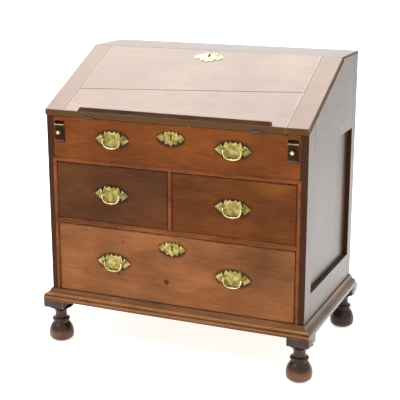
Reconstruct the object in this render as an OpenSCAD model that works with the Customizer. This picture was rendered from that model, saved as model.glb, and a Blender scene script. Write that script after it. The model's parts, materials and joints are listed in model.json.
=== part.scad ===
// Slant-front writing desk of joined oak: a framed case on four turned feet, two short
// drawers over one long drawer, a sloping fall that opens onto two sliding lopers,
// and an open gallery, small drawers and a covered well behind the fall.
// The origin is on the floor under the middle of the case; the front faces -Y.

/* [Overall] */
// Width of the case, without the base moulding
body_w = 880; // [730:1:1080]
// Depth of the case, without the base moulding
body_d = 526; // [438:1:640]
// Height of the top above the floor
total_h = 963; // [930:1:1010]
// Depth of the flat top behind the fall
top_d = 189.7; // [170:0.1:210]

/* [Heights of the front] */
// Height of each foot
foot_h = 148; // [120:1:180]
// Height of the base moulding
moulding_h = 38; // [32:1:48]
// Height of the long drawer's opening
long_open_h = 234.5; // [180:0.5:290]
// Thickness of the board between the long and the short drawers
middle_board_t = 14.5; // [12:0.5:20]
// Height of the short drawers' openings
short_open_h = 190.5; // [150:0.5:230]
// Thickness of the board over the short drawers
upper_board_t = 12.5; // [12:0.5:20]
// Height of the fixed frieze board
frieze_h = 137.2; // [125:0.1:160]

/* [Case] */
// Thickness of the side frames
frame_t = 25; // [20:0.5:32]
// Width of the front stiles, front to back
front_stile_d = 58; // [45:1:75]
// Width of the back stiles, front to back
back_stile_d = 44; // [35:1:60]
// Height of the lower side rails' upper edge above the floor
lower_rail_top = 270; // [230:1:320]
// Height of the upper side boards' lower edge above the floor
upper_side_bottom = 711; // [640:1:730]
// Thickness of the side panels
panel_t = 8; // [6:0.5:9]
// How far the side panels are set in from the frames' outer faces
panel_recess = 15; // [6:0.5:15]
// How far the panels' edges go into their grooves
panel_tongue = 8; // [5:0.5:12]
// Thickness of the top
top_t = 18; // [15:0.5:24]
// Thickness of the top's rebated ends, which lap over the sides
top_lap = 7; // [5:0.5:10]
// Thickness of the back boards
back_t = 12; // [8:0.5:16]
// Number of back boards
back_board_count = 4; // [2:1:6]
// Thickness of the case bottom
bottom_t = 14; // [10:0.5:20]
// Thickness of the frieze board
frieze_t = 20; // [16:0.5:24]
// Thickness of the writing board
writing_t = 17; // [14:0.5:20]
// Width of the beads round the drawer openings
bead_w = 11.6; // [8:0.1:12]
// How far the beads stand proud of the front
bead_out = 4.5; // [3:0.5:6]
// Distance of the drawer divider's middle from the middle of the case
divider_x = -6; // [-20:1:20]
// Thickness of the drawer divider
divider_t = 12; // [10:0.5:20]

/* [Base] */
// How far the base moulding stands out from the case
moulding_out = 24; // [16:1:32]
// Height of the base moulding's plain lower edge
fascia_h = 14.5; // [10:0.5:18]
// Width of the base planks under the case
plank_in = 60; // [48:1:80]
// Height of the square block on each foot
foot_block_h = 27; // [20:1:34]
// Distance of each foot's axis in from the case's faces
foot_inset = 17; // [10:1:30]
// Width of the square block on each foot
foot_block = 72; // [60:1:84]
// Greatest radius of each foot
foot_r = 42; // [36:1:48]

/* [Fall] */
// Thickness of the fall
fall_t = 17; // [14:0.5:20]
// How far the fall's lower edge overhangs the front
fall_over = 7; // [5:0.5:9]
// Width of the cleats at the fall's ends
cleat_w = 67; // [50:1:90]
// Distance of the book rest's ends in from the ends of the fall
rest_in = 115; // [70:1:160]
// Height of the book rest above the fall's face
rest_out = 12.5; // [8:0.5:13]
// Thickness of the book rest along the slope
rest_t = 10; // [8:0.5:12]
// Distance of the hinges' middles in from the ends of the fall
hinge_in = 160; // [100:1:200]
// Length of each hinge along its pin
hinge_len = 37; // [30:1:60]
// Radius of the hinge knuckles
knuckle_r = 3.3; // [3:0.1:4]
// Radius of the hinge pins
pin_r = 1.5; // [1.2:0.1:1.8]
// Length of each hinge leaf
leaf_len = 30; // [20:1:40]
// Thickness of the hinge leaves
leaf_t = 1.8; // [1.2:0.1:2.4]

/* [Lopers] */
// Wood left between each loper's slot and the side frame
loper_side = 5; // [3:0.5:12]
// Width of the moulded block on each loper
loper_face_w = 33; // [28:1:34]
// Height of the moulded block on each loper
loper_face_h = 58; // [45:1:64]
// Width of each loper's bar
loper_w = 29; // [22:1:30]
// Height of each loper's bar
loper_h = 67.8; // [60:0.1:75]
// Space behind each loper
loper_back_gap = 16; // [5:1:60]

/* [Drawers] */
// Thickness of the drawer fronts
front_t = 20; // [16:0.5:24]
// Thickness of the drawer sides and backs
side_t = 10; // [8:0.5:14]
// Thickness of the drawer bottoms
drawer_bottom_t = 7; // [5:0.5:10]
// Space behind the drawers
drawer_back_gap = 27; // [5:1:60]
// Gap on each side of a drawer
drawer_gap = 1.2; // [0.6:0.1:2]
// Thickness of the guide boards beside the drawers
guide_t = 6; // [4:0.5:8]

/* [Inside] */
// How far the gallery is set back from the front edge of the top
gallery_set = 9.7; // [5:0.1:40]
// Thickness of the gallery's shelves and partitions
gallery_t = 6; // [5:0.5:8]
// Height of the small drawers' openings
small_open_h = 50; // [40:1:60]
// Number of pigeonholes
pigeonholes = 5; // [3:1:7]
// Width of the opening over the well
well_w = 380; // [200:1:440]
// Width of the board left between the well's opening and the gallery
well_back = 46; // [40:1:90]
// Distance of the well's opening behind the front
well_front = 100; // [60:1:110]
// Thickness of the well's sliding cover
cover_t = 8; // [6:0.5:9]
// Width of the ledges that the cover slides on
cover_ledge = 10; // [6:1:16]

/* [Brasses] */
// Overall width of a handle's backplate
plate_w = 118; // [100:1:130]
// Thickness of the backplates and escutcheons
plate_t = 1.6; // [1.2:0.1:2.4]
// Size of a front escutcheon against a backplate
escutcheon_scale = 0.8; // [0.7:0.01:0.9]
// Size of the fall's escutcheon against a backplate
fall_escutcheon_scale = 0.93; // [0.8:0.01:1]
// Distance of the frieze handles' middles in from the sides of the case
frieze_handle_in = 236; // [210:1:260]
// Distance of the long drawer's handles' middles in from the sides of the case
long_handle_in = 233; // [210:1:260]
// Distance of the frieze handles' axes below the writing board's top
frieze_handle_drop = 64.2; // [55:0.1:80]
// Distance of the frieze escutcheon's middle below the writing board's top
frieze_escutcheon_drop = 42.5; // [38:0.5:60]
// Distance of the long drawer's escutcheon's middle below its opening's top
long_escutcheon_drop = 44; // [40:0.5:50]
// Distance of each post from a handle's middle
post_x = 36; // [32:0.5:40]
// Distance of a bail's axis from the face of the board
bail_out = 11; // [9:0.5:13]
// Depth of a bail below its axis
bail_drop = 27; // [22:0.5:30]
// Radius of a bail's bar
bail_r = 2.3; // [1.8:0.1:3]

/* [Locks] */
// Width of the lock cases
lock_w = 66; // [50:1:76]
// Length of the lock cases
lock_len = 56; // [52:1:64]
// Thickness of the lock cases
lock_t = 9; // [8:0.5:10]
// Width of the lock bolts
bolt_w = 20; // [14:1:26]
// Travel of the lock bolts
bolt_travel = 8; // [6:0.5:9]

/* [Hidden] */
$fn = 64;

// Clearances
slide_gap = 0.4;   // under and over a piece that slides
fall_gap = 3;      // between the fall and the sloping edges of the sides
edge_gap = 1.5;    // between the fall's upper edge and the top
pin_gap = 0.05;    // round a pin in its bore
knuckle_gap = 0.3; // between neighbouring knuckles
front_set = 1;     // of the drawer fronts behind the front of the case
eps = 1;           // overrun of a cut past a face

// Levels above the floor
case_z = foot_h + fascia_h;
deck_z = foot_h + moulding_h;
middle_z = deck_z + long_open_h;
short_z = middle_z + middle_board_t;
upper_z = short_z + short_open_h;
frieze_z = upper_z + upper_board_t;
write_z = frieze_z + frieze_h;
top_z = total_h - top_t;

block_z = foot_h - foot_block_h;

// Places across and along the case
inner_x = body_w/2 - frame_t;
open_x = inner_x - guide_t;
front_y = -body_d/2;
back_d = body_d - back_t;
ridge_d = body_d - top_d;

// Places across that are set in from the sides
hinge_x = body_w/2 - hinge_in;
rest_len = body_w - 2*rest_in;
frieze_handle_x = body_w/2 - frieze_handle_in;
long_handle_x = body_w/2 - long_handle_in;

// Slope of the fall: its inner face passes through the hinge pins, and its outer face
// meets the front edge of the top
fall_rise = total_h - write_z;
fall_run = ridge_d + fall_over;
slope_a = atan2(fall_rise, fall_run) - asin(fall_t/norm([fall_rise, fall_run]));
fall_len = fall_run*cos(slope_a) + fall_rise*sin(slope_a);
fall_foot = fall_t*tan(slope_a);

// Lopers
loper_top = write_z - writing_t - slide_gap;
loper_bottom = loper_top - loper_h;
loper_face_in = 8;
loper_face_out = 3;
loper_bead_r = 2.4;
loper_slot_gap = 0.5;
loper_x = inner_x - loper_side - loper_slot_gap - loper_face_w/2;
loper_len = back_d - loper_face_in - loper_back_gap;

// Drawers
drawer_d = back_d - front_set - drawer_back_gap;

// Gallery
gallery_front = ridge_d + gallery_set;
gallery_d = back_d - gallery_front;
gallery_base_t = 8;
small_z = write_z + gallery_base_t;
shelf_z = small_z + small_open_h;
pigeon_z = shelf_z + gallery_t;
small_pitch = (2*inner_x + gallery_t)/3;
pigeon_pitch = (2*inner_x + gallery_t)/pigeonholes;

// Well and its cover
well_d = gallery_front - well_back - well_front;
cover_sink = cover_t + 2*slide_gap;
cover_back_lap = 10;

// Handles: half outline of a backplate at its reference width, from the middle of its
// top edge round the pointed end to the spike below
plate_ref_w = 118;
plate_half = [
  [0, 21], [10, 26.5], [15.5, 19.5], [24, 26], [29, 14], [31, 5], [37.5, 17],
  [59, 0], [37.5, -17], [31, -5], [29, -14], [22, -27], [14, -22], [5, -26], [0, -36]
];
plate_scale = plate_w/plate_ref_w;
short_handle_rise = 0.8;
long_handle_rise = 1.7;
handle_z_frieze = write_z - frieze_handle_drop;
handle_z_short = short_z + short_open_h/2 + short_handle_rise;
handle_z_long = deck_z + long_open_h/2 + long_handle_rise;
left_handle_x = (divider_x - divider_t/2 - open_x)/2;
right_handle_x = (divider_x + divider_t/2 + open_x)/2;
escutcheon_z_frieze = write_z - frieze_escutcheon_drop;
escutcheon_z_long = middle_z - long_escutcheon_drop;

// Posts and bails
post_r = 2.6;
ball_r = 4.2;
arm_gap = 0.3;
bail_arm_x = post_x - ball_r - arm_gap - bail_r;
bail_bend_r = 14;

// Lock of the fall, measured down the slope from the fall's upper edge
bolt_t = 4;
bolt_len = 26;
bolt_gap = 0.3;
keyhole_r = 3.2;
keyhole_len = 13;
keyhole_slot_w = 4.4;
keyhole_rise = 6;
fall_keyhole_r = 4.4;
fall_keyhole_len = 16;
fall_keyhole_tip_w = 2.4;
fall_keyhole_drop = 44;

// ---------- shared helpers ----------

// Extrudes an outline of (distance behind the front, height) between two places across
module across(x0, x1) {
  translate([x0, front_y, 0])
    rotate([90, 0, 90])
      linear_extrude(x1 - x0)
        children();
}

// A box between two places across, two distances behind the front and two heights
module plank(x0, x1, d0, d1, z0, z1) {
  translate([x0, front_y + d0, z0])
    cube([x1 - x0, d1 - d0, z1 - z0]);
}

// The same piece on the left and on the right
module both_sides() {
  children();
  mirror([1, 0, 0]) children();
}

// Frame of the fall: X across, Y up the slope from the hinge pins, Z out of its face
module on_fall() {
  translate([0, front_y - fall_over, write_z])
    rotate([slope_a, 0, 0])
      children();
}

// Outline of one side of the case, below the fall and the top
module side_outline() {
  drop = fall_gap/cos(slope_a);
  step_d = top_edge_d(top_z) + eps;
  lap_z = total_h - top_lap;
  polygon([
    [0, case_z], [0, slope_z(0) - drop], [step_d, slope_z(step_d) - drop],
    [step_d, lap_z], [body_d, lap_z], [body_d, case_z]
  ]);
}

// Height of the fall's inner face at a distance behind the front
function slope_z(d) = write_z + (d + fall_over)*tan(slope_a);

// Distance behind the front of the top's front edge, at a height
function top_edge_d(z) = ridge_d + edge_gap/cos(slope_a) + (total_h - z)*tan(slope_a);

// The part of a side between two distances behind the front and two heights
module side_member(d0, d1, z0, z1) {
  across(inner_x, body_w/2)
    intersection() {
      side_outline();
      translate([d0, z0]) square([d1 - d0, z1 - z0]);
    }
}

// The panel with its tongues, which also cuts the grooves
module side_panel() {
  plank(body_w/2 - panel_recess - panel_t, body_w/2 - panel_recess,
    front_stile_d - panel_tongue, body_d - back_stile_d + panel_tongue,
    lower_rail_top - panel_tongue, upper_side_bottom + panel_tongue);
}

// ---------- side frames ----------

module front_stile() {
  difference() {
    side_member(0, front_stile_d, case_z, total_h);
    side_panel();
  }
}

module back_stile() {
  difference() {
    side_member(body_d - back_stile_d, body_d, case_z, total_h);
    side_panel();
  }
}

module lower_rail() {
  difference() {
    side_member(front_stile_d, body_d - back_stile_d, case_z, lower_rail_top);
    side_panel();
  }
}

module upper_board() {
  difference() {
    side_member(front_stile_d, body_d - back_stile_d, upper_side_bottom, total_h);
    side_panel();
  }
}

module left_front_stile() { color("saddlebrown") mirror([1, 0, 0]) front_stile(); }
module right_front_stile() { color("saddlebrown") front_stile(); }
module back_stiles() { color("saddlebrown") both_sides() back_stile(); }
module side_lower_rails() { color("saddlebrown") both_sides() lower_rail(); }
module left_upper_board() { color("saddlebrown") mirror([1, 0, 0]) upper_board(); }
module right_upper_board() { color("saddlebrown") upper_board(); }
module side_panels() { color("sienna") both_sides() side_panel(); }

// ---------- case boards ----------

// The top: its front edge is cut square to the slope and takes the fall's bolt, and its
// ends are rebated over the sides
module top_board() {
  color("peru")
    difference() {
      across(-body_w/2, body_w/2)
        polygon([
          [top_edge_d(total_h), total_h], [top_edge_d(top_z), top_z],
          [body_d, top_z], [body_d, total_h]
        ]);
      both_sides()
        plank(inner_x, body_w/2 + eps, 0, body_d + eps, top_z - eps, total_h - top_lap);
      on_fall()
        translate([-bolt_w/2 - slide_gap, fall_len - eps, bolt_level() - slide_gap])
          cube([bolt_w + 2*slide_gap, bolt_travel + 2*eps, bolt_t + 2*slide_gap]);
    }
}

module back_boards() {
  seam = 0.6;
  pitch = (2*inner_x + seam)/back_board_count;
  color("burlywood")
    for (i = [0:back_board_count - 1])
      plank(-inner_x + i*pitch, -inner_x + (i + 1)*pitch - seam,
        back_d, body_d, case_z, top_z);
}

module bottom_board() {
  color("burlywood")
    plank(-inner_x, inner_x, 0, back_d, deck_z - bottom_t, deck_z);
}

// The fixed board over the drawers, with a slot for each loper
module frieze_board() {
  color("chocolate")
    difference() {
      plank(-inner_x, inner_x, 0, frieze_t, frieze_z, write_z);
      both_sides()
        plank(loper_x - loper_face_w/2 - loper_slot_gap,
          loper_x + loper_face_w/2 + loper_slot_gap,
          -eps, frieze_t + eps, loper_bottom - slide_gap, loper_top + slide_gap);
      hinge_leaf_beds();
    }
}

// The fixed writing board, with the well's opening and the bed of its sliding cover
module writing_board() {
  channel_x = well_w/2 + cover_ledge;
  color("peru")
    difference() {
      plank(-inner_x, inner_x, frieze_t, back_d, write_z - writing_t, write_z);
      plank(-well_w/2, well_w/2, well_front, well_front + well_d,
        write_z - writing_t - eps, write_z + eps);
      plank(-channel_x, channel_x, well_front - cover_ledge, back_d + eps,
        write_z - cover_sink, write_z + eps);
      hinge_leaf_beds();
    }
}

module upper_dustboard() {
  color("chocolate")
    plank(-inner_x, inner_x, 0, back_d, upper_z, frieze_z);
}

// The board over the long drawer; the drawer's bolt enters its underside
module middle_dustboard() {
  color("chocolate")
    difference() {
      plank(-inner_x, inner_x, 0, back_d, middle_z, short_z);
      plank(-bolt_w/2 - slide_gap, bolt_w/2 + slide_gap,
        drawer_bolt_d() - slide_gap, drawer_bolt_d() + bolt_t + slide_gap,
        middle_z - eps, middle_z + bolt_travel + slide_gap);
    }
}

module drawer_divider() {
  color("chocolate")
    plank(divider_x - divider_t/2, divider_x + divider_t/2, 0, back_d, short_z, upper_z);
}

// Guide boards that carry the side frames' inner faces out to the drawers
module drawer_guides() {
  color("burlywood")
    both_sides() {
      plank(open_x, inner_x, 0, back_d, deck_z, middle_z);
      plank(open_x, inner_x, 0, back_d, short_z, upper_z);
    }
}

// Channels that the lopers slide in; their inner walls are the sides of the well
module loper_guides() {
  wall_t = 12;
  well_side = loper_x - loper_w/2 - slide_gap;
  outer_side = loper_x + loper_w/2 + slide_gap;
  color("burlywood")
    both_sides()
      difference() {
        plank(well_side - wall_t, inner_x, frieze_t, back_d,
          frieze_z, write_z - writing_t);
        plank(well_side, outer_side, frieze_t - eps, back_d + eps,
          loper_bottom - slide_gap, write_z);
      }
}

// ---------- beads ----------

// Half-round strip of the given length along +Z, on the front plane, middle at x = 0
module bead_strip(length) {
  bead_r = (pow(bead_w/2, 2) + pow(bead_out, 2))/(2*bead_out);
  linear_extrude(length)
    intersection() {
      translate([0, bead_r - bead_out]) circle(bead_r);
      translate([-bead_w/2, -bead_out]) square([bead_w, bead_out]);
    }
}

module opening_beads() {
  side_x = open_x + bead_w/2;
  color("chocolate")
    translate([0, front_y, 0]) {
      both_sides()
        translate([side_x, 0, deck_z])
          bead_strip(frieze_z - deck_z);
      for (level = [middle_z + middle_board_t/2, upper_z + upper_board_t/2])
        translate([-side_x, 0, level])
          rotate([0, 90, 0])
            bead_strip(2*side_x);
      translate([divider_x, 0, short_z - middle_board_t/2])
        bead_strip(short_open_h + middle_board_t/2 + upper_board_t/2);
    }
}

// ---------- base ----------

// Section of the base: x is the distance out from the case's face, y the height
module base_section() {
  fascia_z = foot_h + fascia_h;
  bead_r = 3;
  groove = 1.6;
  lip = 4;
  cove_low = [moulding_out - groove - 2*bead_r/3, fascia_z + 2*bead_r];
  cove_high = [lip, deck_z - lip];
  union() {
    translate([-plank_in, foot_h]) square([plank_in + moulding_out, fascia_h]);
    translate([0, fascia_z - eps])
      square([moulding_out - groove - bead_r, 2*bead_r + eps]);
    translate([moulding_out - groove - bead_r, fascia_z + bead_r]) circle(bead_r);
    difference() {
      polygon([
        [0, fascia_z], [cove_low.x, cove_low.y], [cove_high.x + lip/2, cove_high.y],
        [cove_high.x, deck_z], [0, deck_z]
      ]);
      cove(cove_low, [cove_high.x + lip/2, cove_high.y]);
    }
  }
}

// A shallow round hollow between two points of an outline
module cove(a, b) {
  chord = norm(b - a);
  hollow = 0.12; // depth of the hollow against its width
  depth = chord*hollow;
  radius = (pow(chord/2, 2) + pow(depth, 2))/(2*depth);
  along = (b - a)/chord;
  out = [along.y, -along.x];
  translate((a + b)/2 + out*(radius - depth)) circle(radius, $fn = 96);
}

module base_moulding_front() {
  reach = body_w/2 + moulding_out;
  color("saddlebrown")
    intersection() {
      translate([-reach, front_y, 0])
        rotate([90, 0, 90])
          linear_extrude(2*reach)
            mirror([1, 0]) base_section();
      translate([0, front_y, 0])
        linear_extrude(total_h)
          polygon([
            [-reach, -moulding_out], [reach, -moulding_out],
            [body_w/2 - plank_in, plank_in], [plank_in - body_w/2, plank_in]
          ]);
    }
}

module side_base_mouldings() {
  reach = body_w/2 + moulding_out;
  color("saddlebrown")
    both_sides()
      intersection() {
        translate([body_w/2, body_d/2, 0])
          rotate([90, 0, 0])
            linear_extrude(body_d + moulding_out)
              base_section();
        translate([0, front_y, 0])
          linear_extrude(total_h)
            polygon([
              [reach, -moulding_out], [reach, body_d],
              [body_w/2 - plank_in, body_d], [body_w/2 - plank_in, plank_in]
            ]);
      }
}

// ---------- feet ----------

// Half section of the turned foot below its block
module foot_section() {
  belly_z = 24;
  belly_r = 55.6;
  belly_top = 62;
  sole_z = 45;
  sole_r = 53;
  collar_z = 74;
  collar_r = 30;
  collar_bead = 5.5;
  neck_r = 19.5;
  neck_z = 93;
  fillet = 4; // between the neck and the collar
  flare_share = 0.6; // how much of the flare shows under the block
  flare_r = block_z - neck_z;
  difference() {
    union() {
      intersection() {
        translate([foot_r - belly_r, belly_z]) circle(belly_r, $fn = 96);
        translate([0, sole_z]) circle(sole_r, $fn = 96);
        square([foot_r + eps, belly_top]);
      }
      square([collar_r - collar_bead, collar_z + collar_bead]);
      translate([collar_r - collar_bead, collar_z]) circle(collar_bead);
      translate([collar_r - collar_bead, collar_z - 1.5*collar_bead])
        circle(collar_bead/2);
      square([neck_r, block_z]);
      translate([0, neck_z]) square([neck_r + flare_share*flare_r, flare_r]);
      translate([0, collar_z]) square([neck_r + fillet, collar_bead + fillet]);
    }
    translate([neck_r + flare_r, neck_z - eps]) circle(flare_r);
    translate([-foot_r, 0]) square([foot_r, foot_h]);
  }
}

module foot() {
  ease = 3;
  rotate_extrude($fn = 96) foot_section();
  // The block's outer faces lie in the plane of the base moulding's edge
  shift = foot_inset + moulding_out - foot_block/2;
  translate([shift - foot_block/2, -shift - foot_block/2, 0]) {
    translate([0, 0, block_z + ease])
      cube([foot_block, foot_block, foot_h - block_z - ease]);
    translate([ease, ease, block_z])
      cube([foot_block - 2*ease, foot_block - 2*ease, foot_h - block_z]);
  }
}

module front_feet() {
  color("saddlebrown")
    both_sides()
      translate([body_w/2 - foot_inset, front_y + foot_inset, 0])
        foot();
}

module back_feet() {
  color("saddlebrown")
    both_sides()
      translate([body_w/2 - foot_inset, -front_y - foot_inset, 0])
        mirror([0, 1, 0]) foot();
}

// ---------- gallery, well cover and small drawers ----------

module gallery_shelves() {
  color("peru") {
    plank(-inner_x, inner_x, gallery_front, back_d, write_z, small_z);
    plank(-inner_x, inner_x, gallery_front, back_d, shelf_z, pigeon_z);
  }
}

// Upright partitions; each upper one has a hollow cut in its front edge
module gallery_partitions() {
  scoop_share = 0.42; // radius of the hollow against the partition's height
  scoop_r = (top_z - pigeon_z)*scoop_share;
  color("peru") {
    for (i = [1:2]) {
      x = -inner_x + i*small_pitch - gallery_t;
      plank(x, x + gallery_t, gallery_front, back_d, small_z, shelf_z);
    }
    for (i = [1:pigeonholes - 1]) {
      x = -inner_x + i*pigeon_pitch - gallery_t;
      across(x, x + gallery_t)
        difference() {
          translate([gallery_front, pigeon_z]) square([gallery_d, top_z - pigeon_z]);
          translate([gallery_front, (pigeon_z + top_z)/2]) circle(scoop_r);
        }
    }
  }
}

// The sliding cover of the well, with a scooped finger grip
module well_cover() {
  scoop_r = 14;
  scoop_depth = 5;
  low = write_z - cover_sink + slide_gap;
  start = well_front - cover_ledge + slide_gap;
  end = well_front + well_d + cover_back_lap;
  half = well_w/2 + cover_ledge - slide_gap;
  color("peru")
    difference() {
      plank(-half, half, start, end, low, low + cover_t);
      translate([0, front_y + start + 2*scoop_r, low + cover_t + scoop_r - scoop_depth])
        sphere(scoop_r);
    }
}

module small_drawer(i) {
  x0 = -inner_x + i*small_pitch + slide_gap;
  x1 = x0 + small_pitch - gallery_t - 2*slide_gap;
  z0 = small_z + slide_gap;
  z1 = shelf_z - slide_gap;
  small_t = 6;
  face_t = 9;
  stop_gap = 6;
  length = gallery_d - stop_gap;
  knob_r = 5;
  knob_out = 7;
  difference() {
    plank(x0, x1, gallery_front, gallery_front + length, z0, z1);
    plank(x0 + small_t, x1 - small_t, gallery_front + face_t,
      gallery_front + length - small_t, z0 + small_t, z1 + eps);
  }
  translate([(x0 + x1)/2, front_y + gallery_front, (z0 + z1)/2]) {
    rotate([90, 0, 0]) cylinder(h = knob_r, r = knob_r/2);
    translate([0, -knob_out, 0]) sphere(knob_r);
  }
}

module left_small_drawer() { color("peru") small_drawer(0); }
module middle_small_drawer() { color("peru") small_drawer(1); }
module right_small_drawer() { color("peru") small_drawer(2); }

// ---------- fall ----------

// Section of the fall: its lower edge is plumb when the fall is closed
module fall_section() {
  polygon([[0, 0], [fall_foot, fall_t], [fall_len, fall_t], [fall_len, 0]]);
}

module fall_slab(x0, x1) {
  translate([x0, 0, 0])
    rotate([90, 0, 90])
      linear_extrude(x1 - x0)
        fall_section();
}

// Centre of the bolt's thickness above the fall's inner face
function bolt_level() = lock_t/2 - bolt_t/2;

// A keyhole that runs along +Z, with its slot towards -Y
module keyhole_cut(length) {
  cylinder(h = length, r = keyhole_r);
  translate([-keyhole_slot_w/2, -keyhole_len, 0])
    cube([keyhole_slot_w, keyhole_len, length]);
}

// The fall's keyhole: a drop that narrows towards +Y
module fall_keyhole_cut(length) {
  cylinder(h = length, r = fall_keyhole_r);
  linear_extrude(length)
    polygon([
      [-fall_keyhole_r, 0], [fall_keyhole_r, 0],
      [fall_keyhole_tip_w/2, fall_keyhole_len], [-fall_keyhole_tip_w/2, fall_keyhole_len]
    ]);
}

// Room for the knuckles and the moving leaf of each hinge
module fall_hinge_beds() {
  both_sides()
    translate([hinge_x, 0, 0]) {
      translate([-hinge_len/2 - knuckle_gap, 0, 0])
        rotate([0, 90, 0])
          cylinder(h = hinge_len + 2*knuckle_gap, r = knuckle_r + 2*knuckle_gap);
      translate([-hinge_len/2, -eps, -eps])
        cube([hinge_len, leaf_len + eps, leaf_t + eps]);
    }
}

module fall_board() {
  end_x = body_w/2 - cleat_w;
  color("tan")
    on_fall()
      difference() {
        fall_slab(-end_x, end_x);
        fall_hinge_beds();
        translate([-lock_w/2, fall_len - lock_len, -eps])
          cube([lock_w, lock_len + eps, lock_t + eps]);
        translate([0, fall_len - fall_keyhole_drop, 0])
          fall_keyhole_cut(fall_t + eps);
      }
}

module fall_cleats() {
  color("tan")
    on_fall()
      both_sides()
        fall_slab(body_w/2 - cleat_w, body_w/2);
}

// The strip that stops a book from sliding off the sloping fall
module book_rest() {
  nose_r = 4.5;
  color("saddlebrown")
    on_fall()
      translate([-rest_len/2, fall_foot, fall_t])
        rotate([90, 0, 90])
          linear_extrude(rest_len)
            union() {
              square([rest_t, rest_out - nose_r]);
              translate([nose_r, rest_out - nose_r]) circle(nose_r);
              translate([nose_r, 0]) square([rest_t - nose_r, rest_out - nose_r/2]);
            }
}

module fall_lock() {
  color("darkgoldenrod")
    on_fall()
      difference() {
        translate([-lock_w/2, fall_len - lock_len, 0])
          cube([lock_w, lock_len, lock_t]);
        translate([-bolt_w/2 - bolt_gap, fall_len - bolt_len - 2*bolt_gap,
            bolt_level() - bolt_gap])
          cube([bolt_w + 2*bolt_gap, bolt_len + 2*bolt_gap + eps,
            bolt_t + 2*bolt_gap]);
        translate([0, fall_len - fall_keyhole_drop, lock_t/2])
          fall_keyhole_cut(lock_t);
      }
}

module fall_lock_bolt() {
  color("gray")
    on_fall()
      translate([-bolt_w/2, fall_len - bolt_len - bolt_gap, bolt_level()])
        cube([bolt_w, bolt_len, bolt_t]);
}

// ---------- hinges ----------

// One knuckle of a hinge along X, between two places from the hinge's middle
module knuckle(x0, x1) {
  translate([x0, 0, 0])
    rotate([0, 90, 0])
      cylinder(h = x1 - x0, r = knuckle_r);
}

// Beds of the fixed leaves in the top of the frieze and the writing board
module hinge_leaf_beds() {
  both_sides()
    translate([hinge_x - hinge_len/2, front_y - fall_over, write_z - leaf_t])
      cube([hinge_len, leaf_len + fall_over, leaf_t + eps]);
}

// The fixed leaves, with their outer knuckles and the pins
module hinge_lower_leaves() {
  third = hinge_len/3;
  color("silver")
    both_sides()
      translate([hinge_x, front_y - fall_over, write_z]) {
        difference() {
          union() {
            knuckle(-hinge_len/2, hinge_len/2);
            translate([-hinge_len/2, 0, -leaf_t])
              cube([hinge_len, leaf_len + fall_over, leaf_t]);
          }
          translate([-third/2 - knuckle_gap, 0, 0])
            rotate([0, 90, 0])
              cylinder(h = third + 2*knuckle_gap, r = knuckle_r + knuckle_gap);
        }
        translate([-hinge_len/2, 0, 0])
          rotate([0, 90, 0])
            cylinder(h = hinge_len, r = pin_r);
      }
}

module hinge_upper_leaves() {
  third = hinge_len/3;
  color("silver")
    on_fall()
      both_sides()
        translate([hinge_x, 0, 0])
          difference() {
            union() {
              knuckle(-third/2, third/2);
              translate([-third/2, 0, 0]) cube([third, knuckle_r*2, leaf_t]);
              translate([-hinge_len/2, knuckle_r + 2*knuckle_gap, 0])
                cube([hinge_len, leaf_len - knuckle_r - 2*knuckle_gap, leaf_t]);
            }
            translate([-hinge_len, 0, 0])
              rotate([0, 90, 0])
                cylinder(h = 2*hinge_len, r = pin_r + pin_gap);
          }
}

// ---------- lopers ----------

// A bar with a moulded block on its front end
module loper() {
  face_top = loper_bottom + loper_face_h;
  x0 = loper_x - loper_face_w/2;
  x1 = loper_x + loper_face_w/2;
  union() {
    plank(loper_x - loper_w/2, loper_x + loper_w/2,
      loper_face_in, loper_face_in + loper_len, loper_bottom, loper_top);
    plank(x0, x1, -loper_face_out, loper_face_in, loper_bottom, face_top);
    for (level = [loper_bottom + 2*loper_bead_r, face_top - loper_bead_r])
      translate([x0, front_y - loper_face_out, level])
        rotate([0, 90, 0])
          cylinder(h = loper_face_w, r = loper_bead_r);
  }
}

module loper_knob() {
  knob_r = 7.5;
  stem_r = 3.5;
  knob_len = 11;
  knob_rise = 2; // above the middle of the block
  translate([loper_x, front_y - loper_face_out, loper_bottom + loper_face_h/2 + knob_rise])
    rotate([90, 0, 0]) {
      cylinder(h = knob_len - knob_r/2, r = stem_r);
      intersection() {
        translate([0, 0, knob_len - knob_r/2]) sphere(knob_r);
        cylinder(h = knob_len, r = knob_r);
        translate([0, 0, knob_len/2 - stem_r/2]) cylinder(h = knob_len, r = knob_r);
      }
    }
}

module left_loper() { color("saddlebrown") mirror([1, 0, 0]) loper(); }
module right_loper() { color("saddlebrown") loper(); }
module left_loper_knob() { color("gold") mirror([1, 0, 0]) loper_knob(); }
module right_loper_knob() { color("gold") loper_knob(); }

// ---------- drawers ----------

// Distance behind the front of the long drawer's bolt
function drawer_bolt_d() = front_set + front_t - lock_t/2 - bolt_t/2;

module drawer_front(x0, x1, z0, z1) {
  plank(x0 + drawer_gap, x1 - drawer_gap, front_set, front_set + front_t,
    z0 + slide_gap, z1 - drawer_gap);
}

// Sides, back and bottom of a drawer, joined behind its front
module drawer_box(x0, x1, z0, z1) {
  drop = 5;
  difference() {
    plank(x0 + drawer_gap, x1 - drawer_gap, front_set + front_t,
      front_set + drawer_d, z0 + slide_gap, z1 - drawer_gap - drop);
    plank(x0 + drawer_gap + side_t, x1 - drawer_gap - side_t,
      front_set + front_t - eps, front_set + drawer_d - side_t,
      z0 + slide_gap + drawer_bottom_t, z1);
  }
}

module left_drawer_front() {
  color("chocolate")
    drawer_front(-open_x, divider_x - divider_t/2, short_z, upper_z);
}

module left_drawer_box() {
  color("burlywood")
    drawer_box(-open_x, divider_x - divider_t/2, short_z, upper_z);
}

module right_drawer_front() {
  color("chocolate")
    drawer_front(divider_x + divider_t/2, open_x, short_z, upper_z);
}

module right_drawer_box() {
  color("burlywood")
    drawer_box(divider_x + divider_t/2, open_x, short_z, upper_z);
}

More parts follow.
